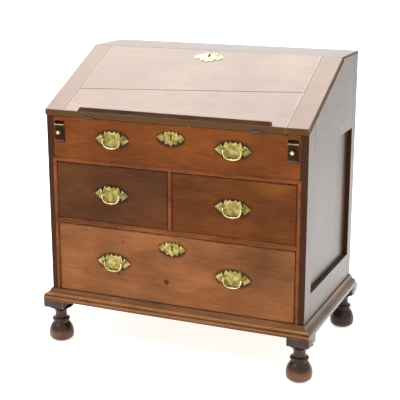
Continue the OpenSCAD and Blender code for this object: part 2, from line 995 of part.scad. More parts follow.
// The long drawer's lock, let into the back of its front; its bed runs past both faces
module drawer_lock_body(grow) {
  plank(-lock_w/2, lock_w/2, front_set + front_t - lock_t, front_set + front_t + grow,
    middle_z - drawer_gap - lock_len, middle_z - drawer_gap + grow);
}

module drawer_keyhole_cut() {
  translate([0, front_y + front_set + front_t - lock_t/2, escutcheon_z_long + keyhole_rise])
    rotate([90, 0, 0])
      keyhole_cut(front_t);
}

module long_drawer_front() {
  color("chocolate")
    difference() {
      drawer_front(-open_x, open_x, deck_z, middle_z);
      drawer_lock_body(eps);
      drawer_keyhole_cut();
    }
}

module long_drawer_box() {
  color("burlywood")
    drawer_box(-open_x, open_x, deck_z, middle_z);
}

module long_drawer_lock() {
  color("darkgoldenrod")
    difference() {
      drawer_lock_body(0);
      plank(-bolt_w/2 - bolt_gap, bolt_w/2 + bolt_gap,
        drawer_bolt_d() - bolt_gap, drawer_bolt_d() + bolt_t + bolt_gap,
        middle_z - drawer_gap - bolt_len - 2*bolt_gap, middle_z);
      drawer_keyhole_cut();
    }
}

module long_drawer_bolt() {
  color("gray")
    plank(-bolt_w/2, bolt_w/2, drawer_bolt_d(), drawer_bolt_d() + bolt_t,
      middle_z - drawer_gap - bolt_gap - bolt_len, middle_z - drawer_gap - bolt_gap);
}

// ---------- brasses ----------

// Outline of a pointed, spiked plate
module plate_outline() {
  reversed = [for (i = [len(plate_half) - 2:-1:1]) [-plate_half[i].x, plate_half[i].y]];
  polygon(concat(plate_half, reversed));
}

// A plate in the XZ plane that stands out towards -Y from y = 0
module plate(size) {
  rotate([90, 0, 0])
    linear_extrude(plate_t)
      scale(size) plate_outline();
}

// A sphere whose seam faces the front, clear of any bore or pin along X
module ball(r) { rotate([0, 0, -90]) sphere(r); }

// A backplate with its two posts, each bored for the end of a bail
module backplate() {
  difference() {
    union() {
      plate(plate_scale);
      for (side = [-1, 1])
        translate([side*post_x, 0, 0]) {
          rotate([90, 0, 0]) cylinder(h = bail_out, r = post_r);
          translate([0, -bail_out, 0]) ball(ball_r);
        }
    }
    for (side = [-1, 1])
      translate([side*post_x, -bail_out, 0])
        rotate([0, -side*90, 0])
          translate([0, 0, -eps])
            cylinder(h = ball_r + 2*eps, r = pin_r + pin_gap);
  }
}

// A smaller plate with a keyhole
module escutcheon() {
  difference() {
    plate(escutcheon_scale*plate_scale);
    translate([0, eps, keyhole_rise])
      rotate([90, 0, 0])
        keyhole_cut(plate_t + 2*eps);
  }
}

// A bail: two arms and a bar, with pins that turn in the posts
module bail() {
  arm = bail_drop - bail_bend_r;
  bar = bail_arm_x - bail_bend_r;
  translate([0, -bail_out, 0])
    union() {
      for (side = [-1, 1]) {
        translate([side*(bail_arm_x - bail_r/2), 0, 0])
          rotate([0, side*90, 0])
            cylinder(h = post_x - bail_arm_x + bail_r/2, r = pin_r);
        translate([side*bail_arm_x, 0, 0]) ball(bail_r);
        translate([side*bail_arm_x, 0, -arm]) cylinder(h = arm, r = bail_r);
        translate([side*bar, 0, -arm])
          rotate([90, 0, 0])
            mirror([side > 0 ? 0 : 1, 0, 0])
              rotate([0, 0, -90])
                rotate_extrude(angle = 90)
                  translate([bail_bend_r, 0]) circle(bail_r);
      }
      translate([-bar, 0, -bail_drop])
        rotate([0, 90, 0])
          cylinder(h = 2*bar, r = bail_r);
    }
}

// Places a brass on the frieze (set back 0) or on a drawer's front
module on_frieze(x, z) { translate([x, front_y, z]) children(); }
module on_drawer(x, z) { translate([x, front_y + front_set, z]) children(); }

module frieze_backplates() {
  color("gold")
    for (side = [-1, 1])
      on_frieze(side*frieze_handle_x, handle_z_frieze) backplate();
}

module frieze_escutcheon() {
  color("gold") on_frieze(0, escutcheon_z_frieze) escutcheon();
}

// The keyhole's round end lies just above the level of the plate's points
module fall_escutcheon() {
  color("gold")
    on_fall()
      translate([0, fall_len - fall_keyhole_drop, fall_t])
        difference() {
          translate([0, -fall_keyhole_r, 0])
            rotate([-90, 0, 0])
              plate(fall_escutcheon_scale*plate_scale);
          translate([0, 0, -eps])
            fall_keyhole_cut(plate_t + 2*eps);
        }
}

module left_drawer_backplate() {
  color("gold") on_drawer(left_handle_x, handle_z_short) backplate();
}

module right_drawer_backplate() {
  color("gold") on_drawer(right_handle_x, handle_z_short) backplate();
}

module long_drawer_backplates() {
  color("gold")
    for (side = [-1, 1])
      on_drawer(side*long_handle_x, handle_z_long) backplate();
}

module long_drawer_escutcheon() {
  color("gold") on_drawer(0, escutcheon_z_long) escutcheon();
}

module frieze_bail_left() {
  color("gold") on_frieze(-frieze_handle_x, handle_z_frieze) bail();
}

module frieze_bail_right() {
  color("gold") on_frieze(frieze_handle_x, handle_z_frieze) bail();
}

module left_drawer_bail() { color("gold") on_drawer(left_handle_x, handle_z_short) bail(); }
module right_drawer_bail() { color("gold") on_drawer(right_handle_x, handle_z_short) bail(); }
module long_drawer_bail_left() { color("gold") on_drawer(-long_handle_x, handle_z_long) bail(); }
module long_drawer_bail_right() { color("gold") on_drawer(long_handle_x, handle_z_long) bail(); }

// ---------- pieces ----------

left_front_stile();
right_front_stile();
back_stiles();
side_lower_rails();
left_upper_board();
right_upper_board();
side_panels();
top_board();
back_boards();
bottom_board();
frieze_board();
writing_board();
upper_dustboard();
middle_dustboard();
drawer_divider();
opening_beads();
drawer_guides();
loper_guides();
base_moulding_front();
side_base_mouldings();
front_feet();
back_feet();
gallery_shelves();
gallery_partitions();
hinge_lower_leaves();
frieze_backplates();
frieze_escutcheon();
fall_board();
fall_cleats();
book_rest();
fall_escutcheon();
fall_lock();
hinge_upper_leaves();
fall_lock_bolt();
left_loper();
right_loper();
left_loper_knob();
right_loper_knob();
left_drawer_front();
left_drawer_box();
right_drawer_front();
right_drawer_box();
long_drawer_front();
long_drawer_box();
left_drawer_backplate();
right_drawer_backplate();
long_drawer_backplates();
long_drawer_escutcheon();
long_drawer_lock();
long_drawer_bolt();
frieze_bail_left();
frieze_bail_right();
left_drawer_bail();
right_drawer_bail();
long_drawer_bail_left();
long_drawer_bail_right();
left_small_drawer();
middle_small_drawer();
right_small_drawer();
well_cover();
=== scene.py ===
# %% [markdown]
# # A slant-front writing desk in old oak
# The desk is a framed oak case on four turned feet. Two short drawers sit over a long one,
# and a sloping fall opens onto two sliding lopers. The carpentry, the joints and every size
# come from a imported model, which is loaded first and never moved. This script gives the
# desk its looks: eased and worn edges, split boards, turned feet, cast brasses, waxed oak.

# %% Load the frame
import json
import math

import bmesh
import bpy
from mathutils import Matrix, Vector


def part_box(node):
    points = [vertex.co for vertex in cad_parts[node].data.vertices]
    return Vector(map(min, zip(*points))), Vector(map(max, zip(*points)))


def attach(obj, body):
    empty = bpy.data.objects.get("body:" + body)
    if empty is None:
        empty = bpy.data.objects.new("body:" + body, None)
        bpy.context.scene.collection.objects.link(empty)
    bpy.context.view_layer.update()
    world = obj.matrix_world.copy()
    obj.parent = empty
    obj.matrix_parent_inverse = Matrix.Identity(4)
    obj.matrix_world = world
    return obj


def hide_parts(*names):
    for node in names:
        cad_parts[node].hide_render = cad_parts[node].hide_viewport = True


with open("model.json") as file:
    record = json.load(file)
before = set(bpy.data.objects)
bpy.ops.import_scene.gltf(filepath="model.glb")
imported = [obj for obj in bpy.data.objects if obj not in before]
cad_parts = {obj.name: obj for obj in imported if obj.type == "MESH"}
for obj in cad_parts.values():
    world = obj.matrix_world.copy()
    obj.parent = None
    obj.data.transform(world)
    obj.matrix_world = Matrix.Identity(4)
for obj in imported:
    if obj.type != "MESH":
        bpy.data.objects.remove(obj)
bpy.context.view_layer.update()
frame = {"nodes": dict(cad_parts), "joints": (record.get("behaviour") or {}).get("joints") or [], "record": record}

# %% [markdown]
# ## Units, levels and the slope
# Blender works in metres here, and a maker thinks in millimetres, so MM turns one into the
# other. Every place is read from the boxes of the loaded pieces. The sloping fall needs its
# own directions: UP_SLOPE runs from the hinges to the upper edge, and OUT_SLOPE points out
# of its face.

# %% Key places
MM = 0.001
BODY_OF = {node: body for body, nodes in frame["record"]["behaviour"]["bodies"].items()
           for node in nodes}


def low(node):
    """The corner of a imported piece's box with the least x, y and z."""
    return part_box(node)[0]


def high(node):
    """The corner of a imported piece's box with the greatest x, y and z."""
    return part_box(node)[1]


CASE_X = high("right_front_stile").x
FRONT_Y = low("frieze_board").y
BACK_Y = high("back_boards").y
WRITE_Z = high("frieze_board").z
CLEAT_X = CASE_X - (high("fall_cleats").x - high("fall_board").x)
FALL_T = 17 * MM  # thickness of the fall


def fall_directions():
    """The fall's slope, from the direction that its bolt slides in."""
    bolt = next(j for j in frame["joints"] if j["name"] == "fall_bolt_slide")
    up = Vector(bolt["axis"]).normalized()
    return up, Vector((1, 0, 0)).cross(up)


UP_SLOPE, OUT_SLOPE = fall_directions()
SLOPE_ORIGIN = Vector((0, low("fall_board").y, WRITE_Z))


def on_slope(x, up, out):
    """A point on the fall: across, up the slope from the hinges, and out of its inner face."""
    return SLOPE_ORIGIN + Vector((x, 0, 0)) + UP_SLOPE * up + OUT_SLOPE * out


print("slope", round(math.degrees(math.atan2(UP_SLOPE.z, UP_SLOPE.y)), 2), "degrees")

# %% [markdown]
# ## Turning a bmesh into a piece
# Every new piece ends in the same way. Its doubles are merged and its faces turned outwards,
# it becomes an object at the origin, its curves are shaded smooth and its wide flat faces
# flat, and it rides on a body of the frame in place of the plain piece. A wide face that is
# shaded smooth would borrow the slant of the bevel beside it and shine in false bands.

# %% Finishing a piece
WELD = 0.01 * MM
SMOOTH_ANGLE = 40.0


def flatten_wide_faces(mesh, width):
    """Shades a face flat when it is wider than the given width across its longest edge."""
    for face in mesh.polygons:
        corners = [mesh.vertices[index].co for index in face.vertices]
        longest = max((a - b).length for a, b in zip(corners, corners[1:] + corners[:1]))
        if face.area > width * longest:
            face.use_smooth = False


def add_object(name, data):
    """A new object at the origin, linked to the scene."""
    item = bpy.data.objects.new(name, data)
    bpy.context.scene.collection.objects.link(item)
    return item


def weld(bm):
    """Merges vertices that lie in the same place."""
    bmesh.ops.remove_doubles(bm, verts=bm.verts, dist=WELD)


def to_mesh(name, bm):
    """A new mesh from a bmesh, which is freed."""
    mesh = bpy.data.meshes.new(name)
    bm.to_mesh(mesh)
    bm.free()
    return mesh


def finish_piece(name, bm, material, body, node=None, flat_over=None):
    """Makes a piece of a bmesh, on a body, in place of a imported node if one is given."""
    weld(bm)
    bmesh.ops.recalc_face_normals(bm, faces=bm.faces)
    mesh = to_mesh(name, bm)
    mesh.materials.append(material)
    mesh.shade_smooth()
    mesh.set_sharp_from_angle(angle=math.radians(SMOOTH_ANGLE))
    if flat_over:
        flatten_wide_faces(mesh, flat_over)
    piece = add_object(name, mesh)
    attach(piece, body)
    if node:
        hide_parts(node)
    print(f"{name}: {len(mesh.polygons)} faces on {body}")


def stand_in(prefix, bm, material, node, flat_over=None):
    """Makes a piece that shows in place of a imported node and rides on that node's body."""
    finish_piece(f"{prefix}_{node}", bm, material, BODY_OF[node], node, flat_over)


def join(bm, other):
    """Adds a finished bmesh to another one."""
    mesh = to_mesh("part", other)
    bm.from_mesh(mesh)
    bpy.data.meshes.remove(mesh)


def move(bm, offset):
    """Shifts a whole bmesh."""
    bmesh.ops.translate(bm, verts=bm.verts, vec=offset)


# %% [markdown]
# ## Building shader nodes in code
# A material is a small graph. These helpers add one node, fill its sockets with numbers or
# with links, and return the socket that the next node needs, so a finish reads from top to
# bottom. Colours are written as a painter reads them from a swatch, 0 to 255, and turned
# into the linear values that the renderer works in.

# %% Node helpers
def tone(red, green, blue):
    """A colour with values from 0 to 255, as linear values with alpha 1."""
    def linear(value):
        value /= 255
        return value / 12.92 if value <= 0.04045 else ((value + 0.055) / 1.055) ** 2.4

    return (linear(red), linear(green), linear(blue), 1.0)


def fill(tree, node, values):
    """Links each named or numbered input of a node, or sets it to a constant."""
    for key, value in values.items():
        if isinstance(value, bpy.types.NodeSocket):
            tree.links.new(value, node.inputs[key])
        else:
            node.inputs[key].default_value = value
    return node


def add(tree, kind, *sockets, setup=None, **named):
    """A new node; setup sets its options, and the rest fill its inputs."""
    node = tree.nodes.new("ShaderNode" + kind)
    for key, value in (setup or {}).items():
        setattr(node, key, value)
    fill(tree, node, dict(enumerate(sockets)))
    return fill(tree, node, {key.replace("_", " "): value for key, value in named.items()})


def calc(tree, operation, *values):
    return add(tree, "Math", *values, setup={"operation": operation}).outputs[0]


def vector_calc(tree, operation, *values):
    """The result of a Vector Math node: a number or a vector, as the operation gives."""
    node = add(tree, "VectorMath", *values, setup={"operation": operation})
    return node.outputs["Value" if operation in ("DOT_PRODUCT", "DISTANCE", "LENGTH") else 0]


def ramp(tree, value, start, end, low_value=0.0, high_value=1.0):
    """Runs smoothly from one value to another while the input goes from start to end."""
    return add(tree, "MapRange", value, start, end, low_value, high_value,
               setup={"interpolation_type": "SMOOTHSTEP"}).outputs[0]


def blend(tree, factor, first, second, how="MIX"):
    """Mixes two colours; inputs 6 and 7 and output 2 are the Mix node's colour sockets."""
    node = add(tree, "Mix", setup={"data_type": "RGBA", "blend_type": how})
    return fill(tree, node, {0: factor, 6: first, 7: second}).outputs[2]


def grey(tree, value):
    """A grey colour, or a vector with three equal parts."""
    return add(tree, "CombineXYZ", value, value, value).outputs[0]


def object_place(tree):
    """The place of a point on the piece, in metres."""
    return add(tree, "TexCoord").outputs["Object"]


def noise(tree, vector, scale, detail=4.0, roughness=0.55, distortion=0.0):
    """Smooth noise from 0 to 1; a larger scale gives finer noise."""
    return add(tree, "TexNoise", Vector=vector, Scale=scale, Detail=detail,
               Roughness=roughness, Distortion=distortion).outputs["Fac"]


def stretch(tree, vector, amounts):
    return vector_calc(tree, "MULTIPLY", vector, amounts)


def new_group(name, inputs, outputs):
    """An empty node group with these sockets: its tree, its inputs and its last node."""
    tree = bpy.data.node_groups.new(name, "ShaderNodeTree")
    for way, sockets in (("INPUT", inputs), ("OUTPUT", outputs)):
        for label, kind in sockets.items():
            tree.interface.new_socket(label, in_out=way, socket_type=kind)
    return tree, tree.nodes.new("NodeGroupInput").outputs, tree.nodes.new("NodeGroupOutput")


def use_group(tree, group, **named):
    """The outputs of a node that uses a group, with its inputs filled."""
    return fill(tree, add(tree, "Group", setup={"node_tree": group}), named).outputs


def new_material(name):
    """A material with its node tree and its Principled BSDF."""
    material = bpy.data.materials.new(name)
    material.use_nodes = True
    return material, material.node_tree, material.node_tree.nodes["Principled BSDF"]


COLOR, FLOAT, VECTOR = "NodeSocketColor", "NodeSocketFloat", "NodeSocketVector"

# %% [markdown]
# ## Oak grain
# Oak seen along a board has three scales: broad cloudy figure, fine streaks along the grain,
# and open pores, which are short dark dashes that also catch the light as tiny grooves.
# The pattern runs along X of the vector that it is given, so a Mapping node in each
# material turns it to suit the board. A wave texture would give stripes that are too
# regular, so stretched noise is used for all three scales.

# %% Grain group
PORE = tone(40, 20, 10)


def make_grain():
    """Colour, height and streaks of oak whose grain runs along X."""
    tree, given, result = new_group(
        "oak_grain",
        {"Vector": VECTOR, "Light": COLOR, "Dark": COLOR, "Pores": FLOAT, "Figure": FLOAT},
        {"Color": COLOR, "Height": FLOAT, "Streaks": FLOAT})
    where = given["Vector"]
    sway = noise(tree, stretch(tree, where, (1.5, 5.0, 5.0)), 1.0, 2.0)
    swayed = add(tree, "CombineXYZ", 0.0, calc(tree, "MULTIPLY", sway, 0.03),
                 calc(tree, "MULTIPLY", sway, 0.04)).outputs[0]
    where = vector_calc(tree, "ADD", where, swayed)
    broad = noise(tree, stretch(tree, where, (4.0, 16.0, 16.0)), 1.0, 5.0, 0.6, 0.6)
    streaks = noise(tree, stretch(tree, where, (16.0, 190.0, 190.0)), 1.0, 5.0, 0.7)
    dashes = noise(tree, stretch(tree, where, (45.0, 1100.0, 1100.0)), 1.0, 2.0)
    figure = ramp(tree, broad, 0.3, 0.7)
    mixed = calc(tree, "ADD", calc(tree, "MULTIPLY", figure, given["Figure"]),
                 calc(tree, "MULTIPLY", ramp(tree, streaks, 0.3, 0.7),
                      calc(tree, "SUBTRACT", 1.0, given["Figure"])))
    color = blend(tree, mixed, given["Dark"], given["Light"])
    pores = ramp(tree, dashes, 0.56, 0.68)
    dark = calc(tree, "MULTIPLY", pores, given["Pores"])
    color = blend(tree, dark, color, PORE)
    height = calc(tree, "SUBTRACT", calc(tree, "MULTIPLY", streaks, 0.6), pores)
    fill(tree, result, {"Color": color, "Height": height, "Streaks": streaks})
    return tree


GRAIN = make_grain()

# %% [markdown]
# ## Worn edges, and grime and painted shade in corners
# Hands and dusters rub the colour off raised edges, and wax and dust stay in the corners.
# The Bevel node gives a normal that is rounded near an edge, so where it differs from the
# true normal there is an edge. The Ambient Occlusion node is dark in corners, so its mask
# paints shade into the corners as well as dust. Both are broken up with noise, because
# neither wear nor dirt is even.

# %% Wear, and grime and painted shade groups
def make_wear():
    """A mask that is bright on edges that hands have rubbed."""
    tree, given, result = new_group("edge_wear", {"Radius": FLOAT, "Amount": FLOAT},
                                    {"Mask": FLOAT})
    rounded = add(tree, "Bevel", given["Radius"], setup={"samples": 4})
    flat = add(tree, "NewGeometry").outputs["Normal"]
    agree = vector_calc(tree, "DOT_PRODUCT", rounded.outputs[0], flat)
    edge = calc(tree, "SUBTRACT", 1.0, agree)
    where = object_place(tree)
    rub = noise(tree, where, 22.0, 5.0, 0.6)
    mask = calc(tree, "MULTIPLY", ramp(tree, edge, 0.004, 0.09), ramp(tree, rub, 0.32, 0.62))
    fill(tree, result, {"Mask": calc(tree, "MULTIPLY", mask, given["Amount"])})
    return tree


def make_grime_and_shade():
    """A mask that is bright in corners, for grime and for painted shade there."""
    tree, given, result = new_group("corner_grime_and_shade", {"Distance": FLOAT, "Amount": FLOAT},
                                    {"Mask": FLOAT})
    open_sky = add(tree, "AmbientOcclusion", Distance=given["Distance"],
                   setup={"samples": 6, "only_local": False}).outputs["AO"]
    where = object_place(tree)
    patchy = ramp(tree, noise(tree, where, 35.0, 3.0), 0.25, 0.7, 0.6, 1.0)
    mask = calc(tree, "MULTIPLY", ramp(tree, open_sky, 0.5, 0.97, 1.0, 0.0), patchy)
    fill(tree, result, {"Mask": calc(tree, "MULTIPLY", mask, given["Amount"])})
    return tree


WEAR = make_wear()
GRIME_AND_SHADE = make_grime_and_shade()

# %% [markdown]
# ## Waxed oak, board by board
# One function makes every oak finish. The grain is turned along the board and shifted, so
# that no two boards share a pattern. Marks are round stains at a place on the board, save
# one broad patch on the fall and its cleats that is painted shade, and strings are thin pale
# lines of inlay, the same on both halves. Halos are painted shadow, with old polish, round
# the brasses, and lines are level strips: some wear, some painted shade in grooves and gaps,
# some painted highlight on beads. Wax is a clear coat that lies only on the faces that were
# polished, so the direction of those faces is given. It is compared with the Normal of the
# Texture Coordinate node, which turns with the piece.

# %% Oak material
TURNS = {"x": (0.0, 0.0, 0.0), "y": (0.0, 0.0, -math.pi / 2), "z": (0.0, math.pi / 2, 0.0)}
OAK = {}
WORN = tone(176, 128, 82)
# A dark tone for real stains, and also for painted shade in corners, grooves, gaps and round the brasses.
DIRT_AND_SHADE = tone(30, 16, 10)
INLAY = tone(226, 200, 160)


def ragged_mask(tree, where, away, noise_scale, detail, raggedness, start, end, strength):
    """A mask that fades out while a distance goes from start to end, with a ragged edge."""
    ragged = calc(tree, "MULTIPLY", noise(tree, where, noise_scale, detail), raggedness)
    return ramp(tree, calc(tree, "ADD", away, ragged), start, end, strength, 0.0)


def mark_mask(tree, where, center, radius, strength):
    """A soft round stain."""
    away = vector_calc(tree, "DISTANCE", where, center)
    return ragged_mask(tree, where, away, 160.0, 3.0, radius * 0.8, radius * 0.7,
                       radius * 1.5, strength)


def shadow_halo_mask(tree, where, center, half_width, half_height):
    """Painted shadow and old polish round a brass plate: an oval patch, a little wider than the plate."""
    offset = vector_calc(tree, "SUBTRACT", where, center)
    oval = stretch(tree, offset, (1 / half_width, 0.0, 1 / half_height))
    away = vector_calc(tree, "LENGTH", oval)
    return ragged_mask(tree, where, away, 90.0, 3.0, 0.25, 0.95, 1.3, 0.8)


def line_mask(tree, where, point, normal, half_width, strength):
    """A straight strip through a point, square to the normal."""
    offset = vector_calc(tree, "SUBTRACT", where, point)
    away = calc(tree, "ABSOLUTE", vector_calc(tree, "DOT_PRODUCT", offset, normal))
    return ragged_mask(tree, where, away, 70.0, 4.0, half_width * 0.9, half_width * 0.6,
                       half_width * 1.4, strength)


def oak(name, light, dark, grain="x", shift=(0, 0, 0), pores=0.3, figure=0.5, wear=0.3,
        worn=WORN, wear_radius=2.5, grime_and_shade=0.55, rough=(0.45, 0.62), shine=0.09, coat=0.0,
        coat_rough=0.25, coat_ior=1.5, polished=(1, 0, 0), flank=None, marks=(), shadow_halos=(),
        strings=(), lines=()):
    """An oak finish. Coat lies on the faces square to polished, and flank tints the rest."""
    material, tree, shader = new_material(name + "_oak")
    where = object_place(tree)
    turned = add(tree, "Mapping", Vector=where, Location=shift,
                 Rotation=TURNS[grain]).outputs[0]
    wood = use_group(tree, GRAIN, Vector=turned, Light=tone(*light), Dark=tone(*dark),
                     Pores=pores, Figure=figure)
    color = wood["Color"]
    cloud = ramp(tree, noise(tree, where, 4.5, 3.0), 0.3, 0.7, 0.76, 1.16)
    color = blend(tree, 1.0, color, grey(tree, cloud), "MULTIPLY")
    # Each halo is painted shadow, with old polish, round a brass plate.
    for center, half_width, half_height in shadow_halos:
        color = blend(tree, shadow_halo_mask(tree, where, center, half_width, half_height), color,
                      DIRT_AND_SHADE)
    for center, radius, strength, mark_tone in marks:
        color = blend(tree, mark_mask(tree, where, center, radius, strength), color, mark_tone)
    axes = add(tree, "SeparateXYZ", where).outputs
    mirrored = add(tree, "CombineXYZ", calc(tree, "ABSOLUTE", axes[0]), axes[1],
                   axes[2]).outputs[0]
    for point, normal, half_width, strength in strings:
        color = blend(tree, line_mask(tree, mirrored, point, normal, half_width, strength),
                      color, INLAY)
    outward = add(tree, "TexCoord").outputs["Normal"]
    facing = calc(tree, "ABSOLUTE", vector_calc(tree, "DOT_PRODUCT", outward, polished))
    if flank:
        color = blend(tree, ramp(tree, facing, 0.6, 0.9, 0.85, 0.0), color, flank)
    uneven = ramp(tree, noise(tree, where, 18.0, 4.0), 0.2, 0.55, 0.3, 1.0)
    for point, normal, half_width, strength, line_tone in lines:
        strip = line_mask(tree, where, point, normal, half_width, strength)
        color = blend(tree, calc(tree, "MULTIPLY", strip, uneven), color, line_tone)
    edges = use_group(tree, WEAR, Radius=wear_radius * MM, Amount=wear)
    color = blend(tree, edges["Mask"], color, worn)
    # The corner mask darkens corners and recesses with grime and with painted shade.
    grime_and_shade_mask = use_group(tree, GRIME_AND_SHADE, Distance=7 * MM, Amount=grime_and_shade)
    color = blend(tree, grime_and_shade_mask["Mask"], color, DIRT_AND_SHADE)
    bump = add(tree, "Bump", Strength=0.25, Distance=0.3 * MM,
               Height=wood["Height"])
    fill(tree, shader, {
        "Base Color": color,
        "Roughness": ramp(tree, wood["Streaks"], 0.3, 0.7, rough[1], rough[0]),
        "Normal": bump.outputs[0],
        "Coat Weight": ramp(tree, facing, 0.6, 0.95, 0.0, coat),
        "Coat Roughness": coat_rough,
        "Coat IOR": coat_ior,
        "Specular IOR Level": shine,
    })
    OAK[name] = material


print("oak has", len(GRAIN.nodes), "grain nodes")

# %% [markdown]
# ## A finish for each board
# The drawers, frame, fall and feet have aged differently, so each gets its own two tones,
# its own stretch of grain and its own stains. Painted shadow darkens the edges of the drawer
# fronts, widest under the beads, and painted shadow with old polish darkens the wood round
# each brass. The back feet have a darker copy of the feet's finish, which paints them in shade.

# %% Oak finishes
def front_mark(x, z, radius, strength=0.9, mark_tone=DIRT_AND_SHADE):
    """A round stain on the front, in millimetres."""
    return ((x * MM, FRONT_Y, z * MM), radius * MM, strength, mark_tone)


def level_line(height, half_width, strength, line_tone):
    """A level strip of colour, in millimetres."""
    return ((0, 0, height * MM), (0, 0, 1), half_width * MM, strength, line_tone)


def border_shadow_lines(node, strength=0.95):
    """Painted shadow along the four edges of a drawer front, widest along its top, under the bead."""
    corner_low, corner_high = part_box(node)
    up, right = (0, 0, 1), (1, 0, 0)
    sides = ((corner_high, up, 6.5), (corner_low, up, 3), (corner_high, right, 4.5),
             (corner_low, right, 3))
    return [(corner, normal, width * MM, strength, DIRT_AND_SHADE) for corner, normal, width in sides]


HINGE_OF = {j["child"]: Vector(j["pos_m"]) for j in frame["joints"]
            if j["name"].startswith("bail")}


def handle_shadow_halos(*bails):
    """Painted shadow, with old polish, round the backplates of these bails."""
    return [(HINGE_OF[bail], 60 * MM, 31 * MM) for bail in bails]


def plate_shadow_halo(node):
    """Painted shadow, with old polish, round an escutcheon."""
    middle = (low(node) + high(node)) / 2
    return [(middle, 48 * MM, 26 * MM)]


FALL_EDGE = tone(74, 50, 24)
# Painted shade: a warm dark patch that darkens the left end of the fall and its cleat, where that end catches less
# sheen.
PAINTED_SHEEN_FALLOFF = tone(104, 62, 24)
LOPER_FOOT = low("left_loper").z / MM
# Pale lines of painted highlight on the beads of the loper blocks.
LOPER_PAINTED_HIGHLIGHT = tone(206, 176, 150)
# The dark line along the frieze's top edge is painted shade under the fall's lower edge.
oak("frieze", (124, 66, 22), (94, 48, 15), shift=(0.3, 0, 0.1), grime_and_shade=0.9,
    lines=[((0, 0, WRITE_Z), (0, 0, 1), 5 * MM, 0.8, DIRT_AND_SHADE)],
    shadow_halos=handle_shadow_halos("bail_frieze_left", "bail_frieze_right") + plate_shadow_halo("frieze_escutcheon"),
    marks=[front_mark(372, 771, 4), front_mark(60, 772, 3, 0.8, tone(190, 150, 110)),
           front_mark(-250, 771, 4)])
oak("left_drawer", (92, 52, 22), (66, 36, 16), shift=(1.1, 0, 0.4), pores=0.45, grime_and_shade=1.0,
    lines=border_shadow_lines("left_drawer_front"), shadow_halos=handle_shadow_halos("bail_drawer_left"))
oak("right_drawer", (110, 58, 18), (78, 41, 13), shift=(2.3, 0, 0.2), pores=0.4, grime_and_shade=1.0,
    lines=border_shadow_lines("right_drawer_front"), shadow_halos=handle_shadow_halos("bail_drawer_right"),
    marks=[front_mark(330, 640, 90, 0.35, tone(150, 88, 34))])
oak("long_drawer", (142, 90, 52), (112, 66, 34), shift=(3.7, 0, 0.6), figure=0.6, grime_and_shade=1.0,
    lines=border_shadow_lines("long_drawer_front", 0.85),
    shadow_halos=handle_shadow_halos("bail_long_left", "bail_long_right") + plate_shadow_halo("long_drawer_escutcheon"),
    marks=[front_mark(-20, 262, 12, 0.8), front_mark(-172, 378, 6, 0.6),
           front_mark(-190, 268, 7, 0.6), front_mark(330, 330, 130, 0.4)])
oak("stile", (80, 58, 46), (60, 44, 34), grain="z", shift=(0.2, 0.3, 0.7), pores=0.4, coat=0.85,
    coat_rough=0.35, flank=tone(56, 28, 12))
oak("side_rail", (76, 58, 44), (60, 44, 32), grain="y", shift=(1.2, 0.1, 0.5), coat=0.85,
    coat_rough=0.35)
oak("panel", (76, 54, 40), (58, 42, 30), grain="z", shift=(2.2, 0.6, 0.1), figure=0.7, coat=0.78,
    coat_rough=0.3)
# The beads' bright worn tone is rubbed wear and also painted highlight along their round tops.
oak("bead", (138, 74, 34), (84, 42, 20), shift=(0.7, 0, 0.9), wear=1.0, worn=tone(216, 138, 78),
    wear_radius=2, grime_and_shade=1.0)
oak("top", (118, 88, 66), (94, 68, 48), shift=(4.1, 0.3, 0.2), coat=1.0, coat_rough=0.14,
    coat_ior=1.75, polished=(0, 0, 1), flank=tone(70, 52, 40))
oak("fall", (128, 94, 66), (114, 82, 56), shift=(5.3, 0.8, 0.2), coat=1.0, coat_rough=0.2,
    coat_ior=1.68, pores=0.25, polished=OUT_SLOPE, flank=FALL_EDGE,
    strings=[(on_slope(CLEAT_X - 3 * MM, 0, 0), (1, 0, 0), 1.1 * MM, 0.4),
             (on_slope(0, 46 * MM, FALL_T), UP_SLOPE, MM, 0.2),
             (on_slope(0, 338 * MM, FALL_T), UP_SLOPE, MM, 0.2)],
    marks=[(on_slope(272 * MM, 39 * MM, FALL_T), 4 * MM, 0.9, DIRT_AND_SHADE),
           (on_slope(-340 * MM, 260 * MM, FALL_T), 280 * MM, 0.75, PAINTED_SHEEN_FALLOFF)])
oak("cleat", (124, 84, 50), (104, 70, 40), grain="y", shift=(0.9, 0.2, 0.2), coat=1.0,
    coat_rough=0.2, coat_ior=1.62, pores=0.2,
    marks=[(on_slope(-400 * MM, 260 * MM, FALL_T), 300 * MM, 0.75, PAINTED_SHEEN_FALLOFF)], polished=OUT_SLOPE,
    flank=FALL_EDGE)
oak("book_rest", (80, 52, 30), (34, 21, 13), shift=(1.9, 0, 0), wear=0.9, grime_and_shade=0.9,
    polished=OUT_SLOPE)
# On the moulding, the pale lines are wear and painted highlight on its beads, and the dark lines are painted shade
# in its grooves.
oak("moulding", (130, 86, 52), (88, 56, 34), shift=(0.4, 0, 0.2), wear=0.9, grime_and_shade=0.9,
    lines=[level_line(170, 3, 0.7, tone(190, 132, 84)),
           level_line(157, 3, 0.4, tone(170, 112, 68)), level_line(163.5, 1.8, 0.9, DIRT_AND_SHADE),
           level_line(150, 3, 0.7, DIRT_AND_SHADE)])
oak("side_moulding", (118, 100, 86), (92, 76, 64), grain="y", shift=(0.4, 0.5, 0.2), wear=0.6,
    coat=0.5)
# The dark line at 70 mm darkens the crease between the fillet and the collar.
oak("foot", (58, 34, 22), (28, 17, 12), grain="z", shift=(0.6, 0.4, 0.1), wear=0.7, wear_radius=4,
    shine=0.35, rough=(0.2, 0.3),
    lines=[level_line(22, 24, 0.75, tone(118, 72, 36)), level_line(70, 1.6, 0.9, DIRT_AND_SHADE)])
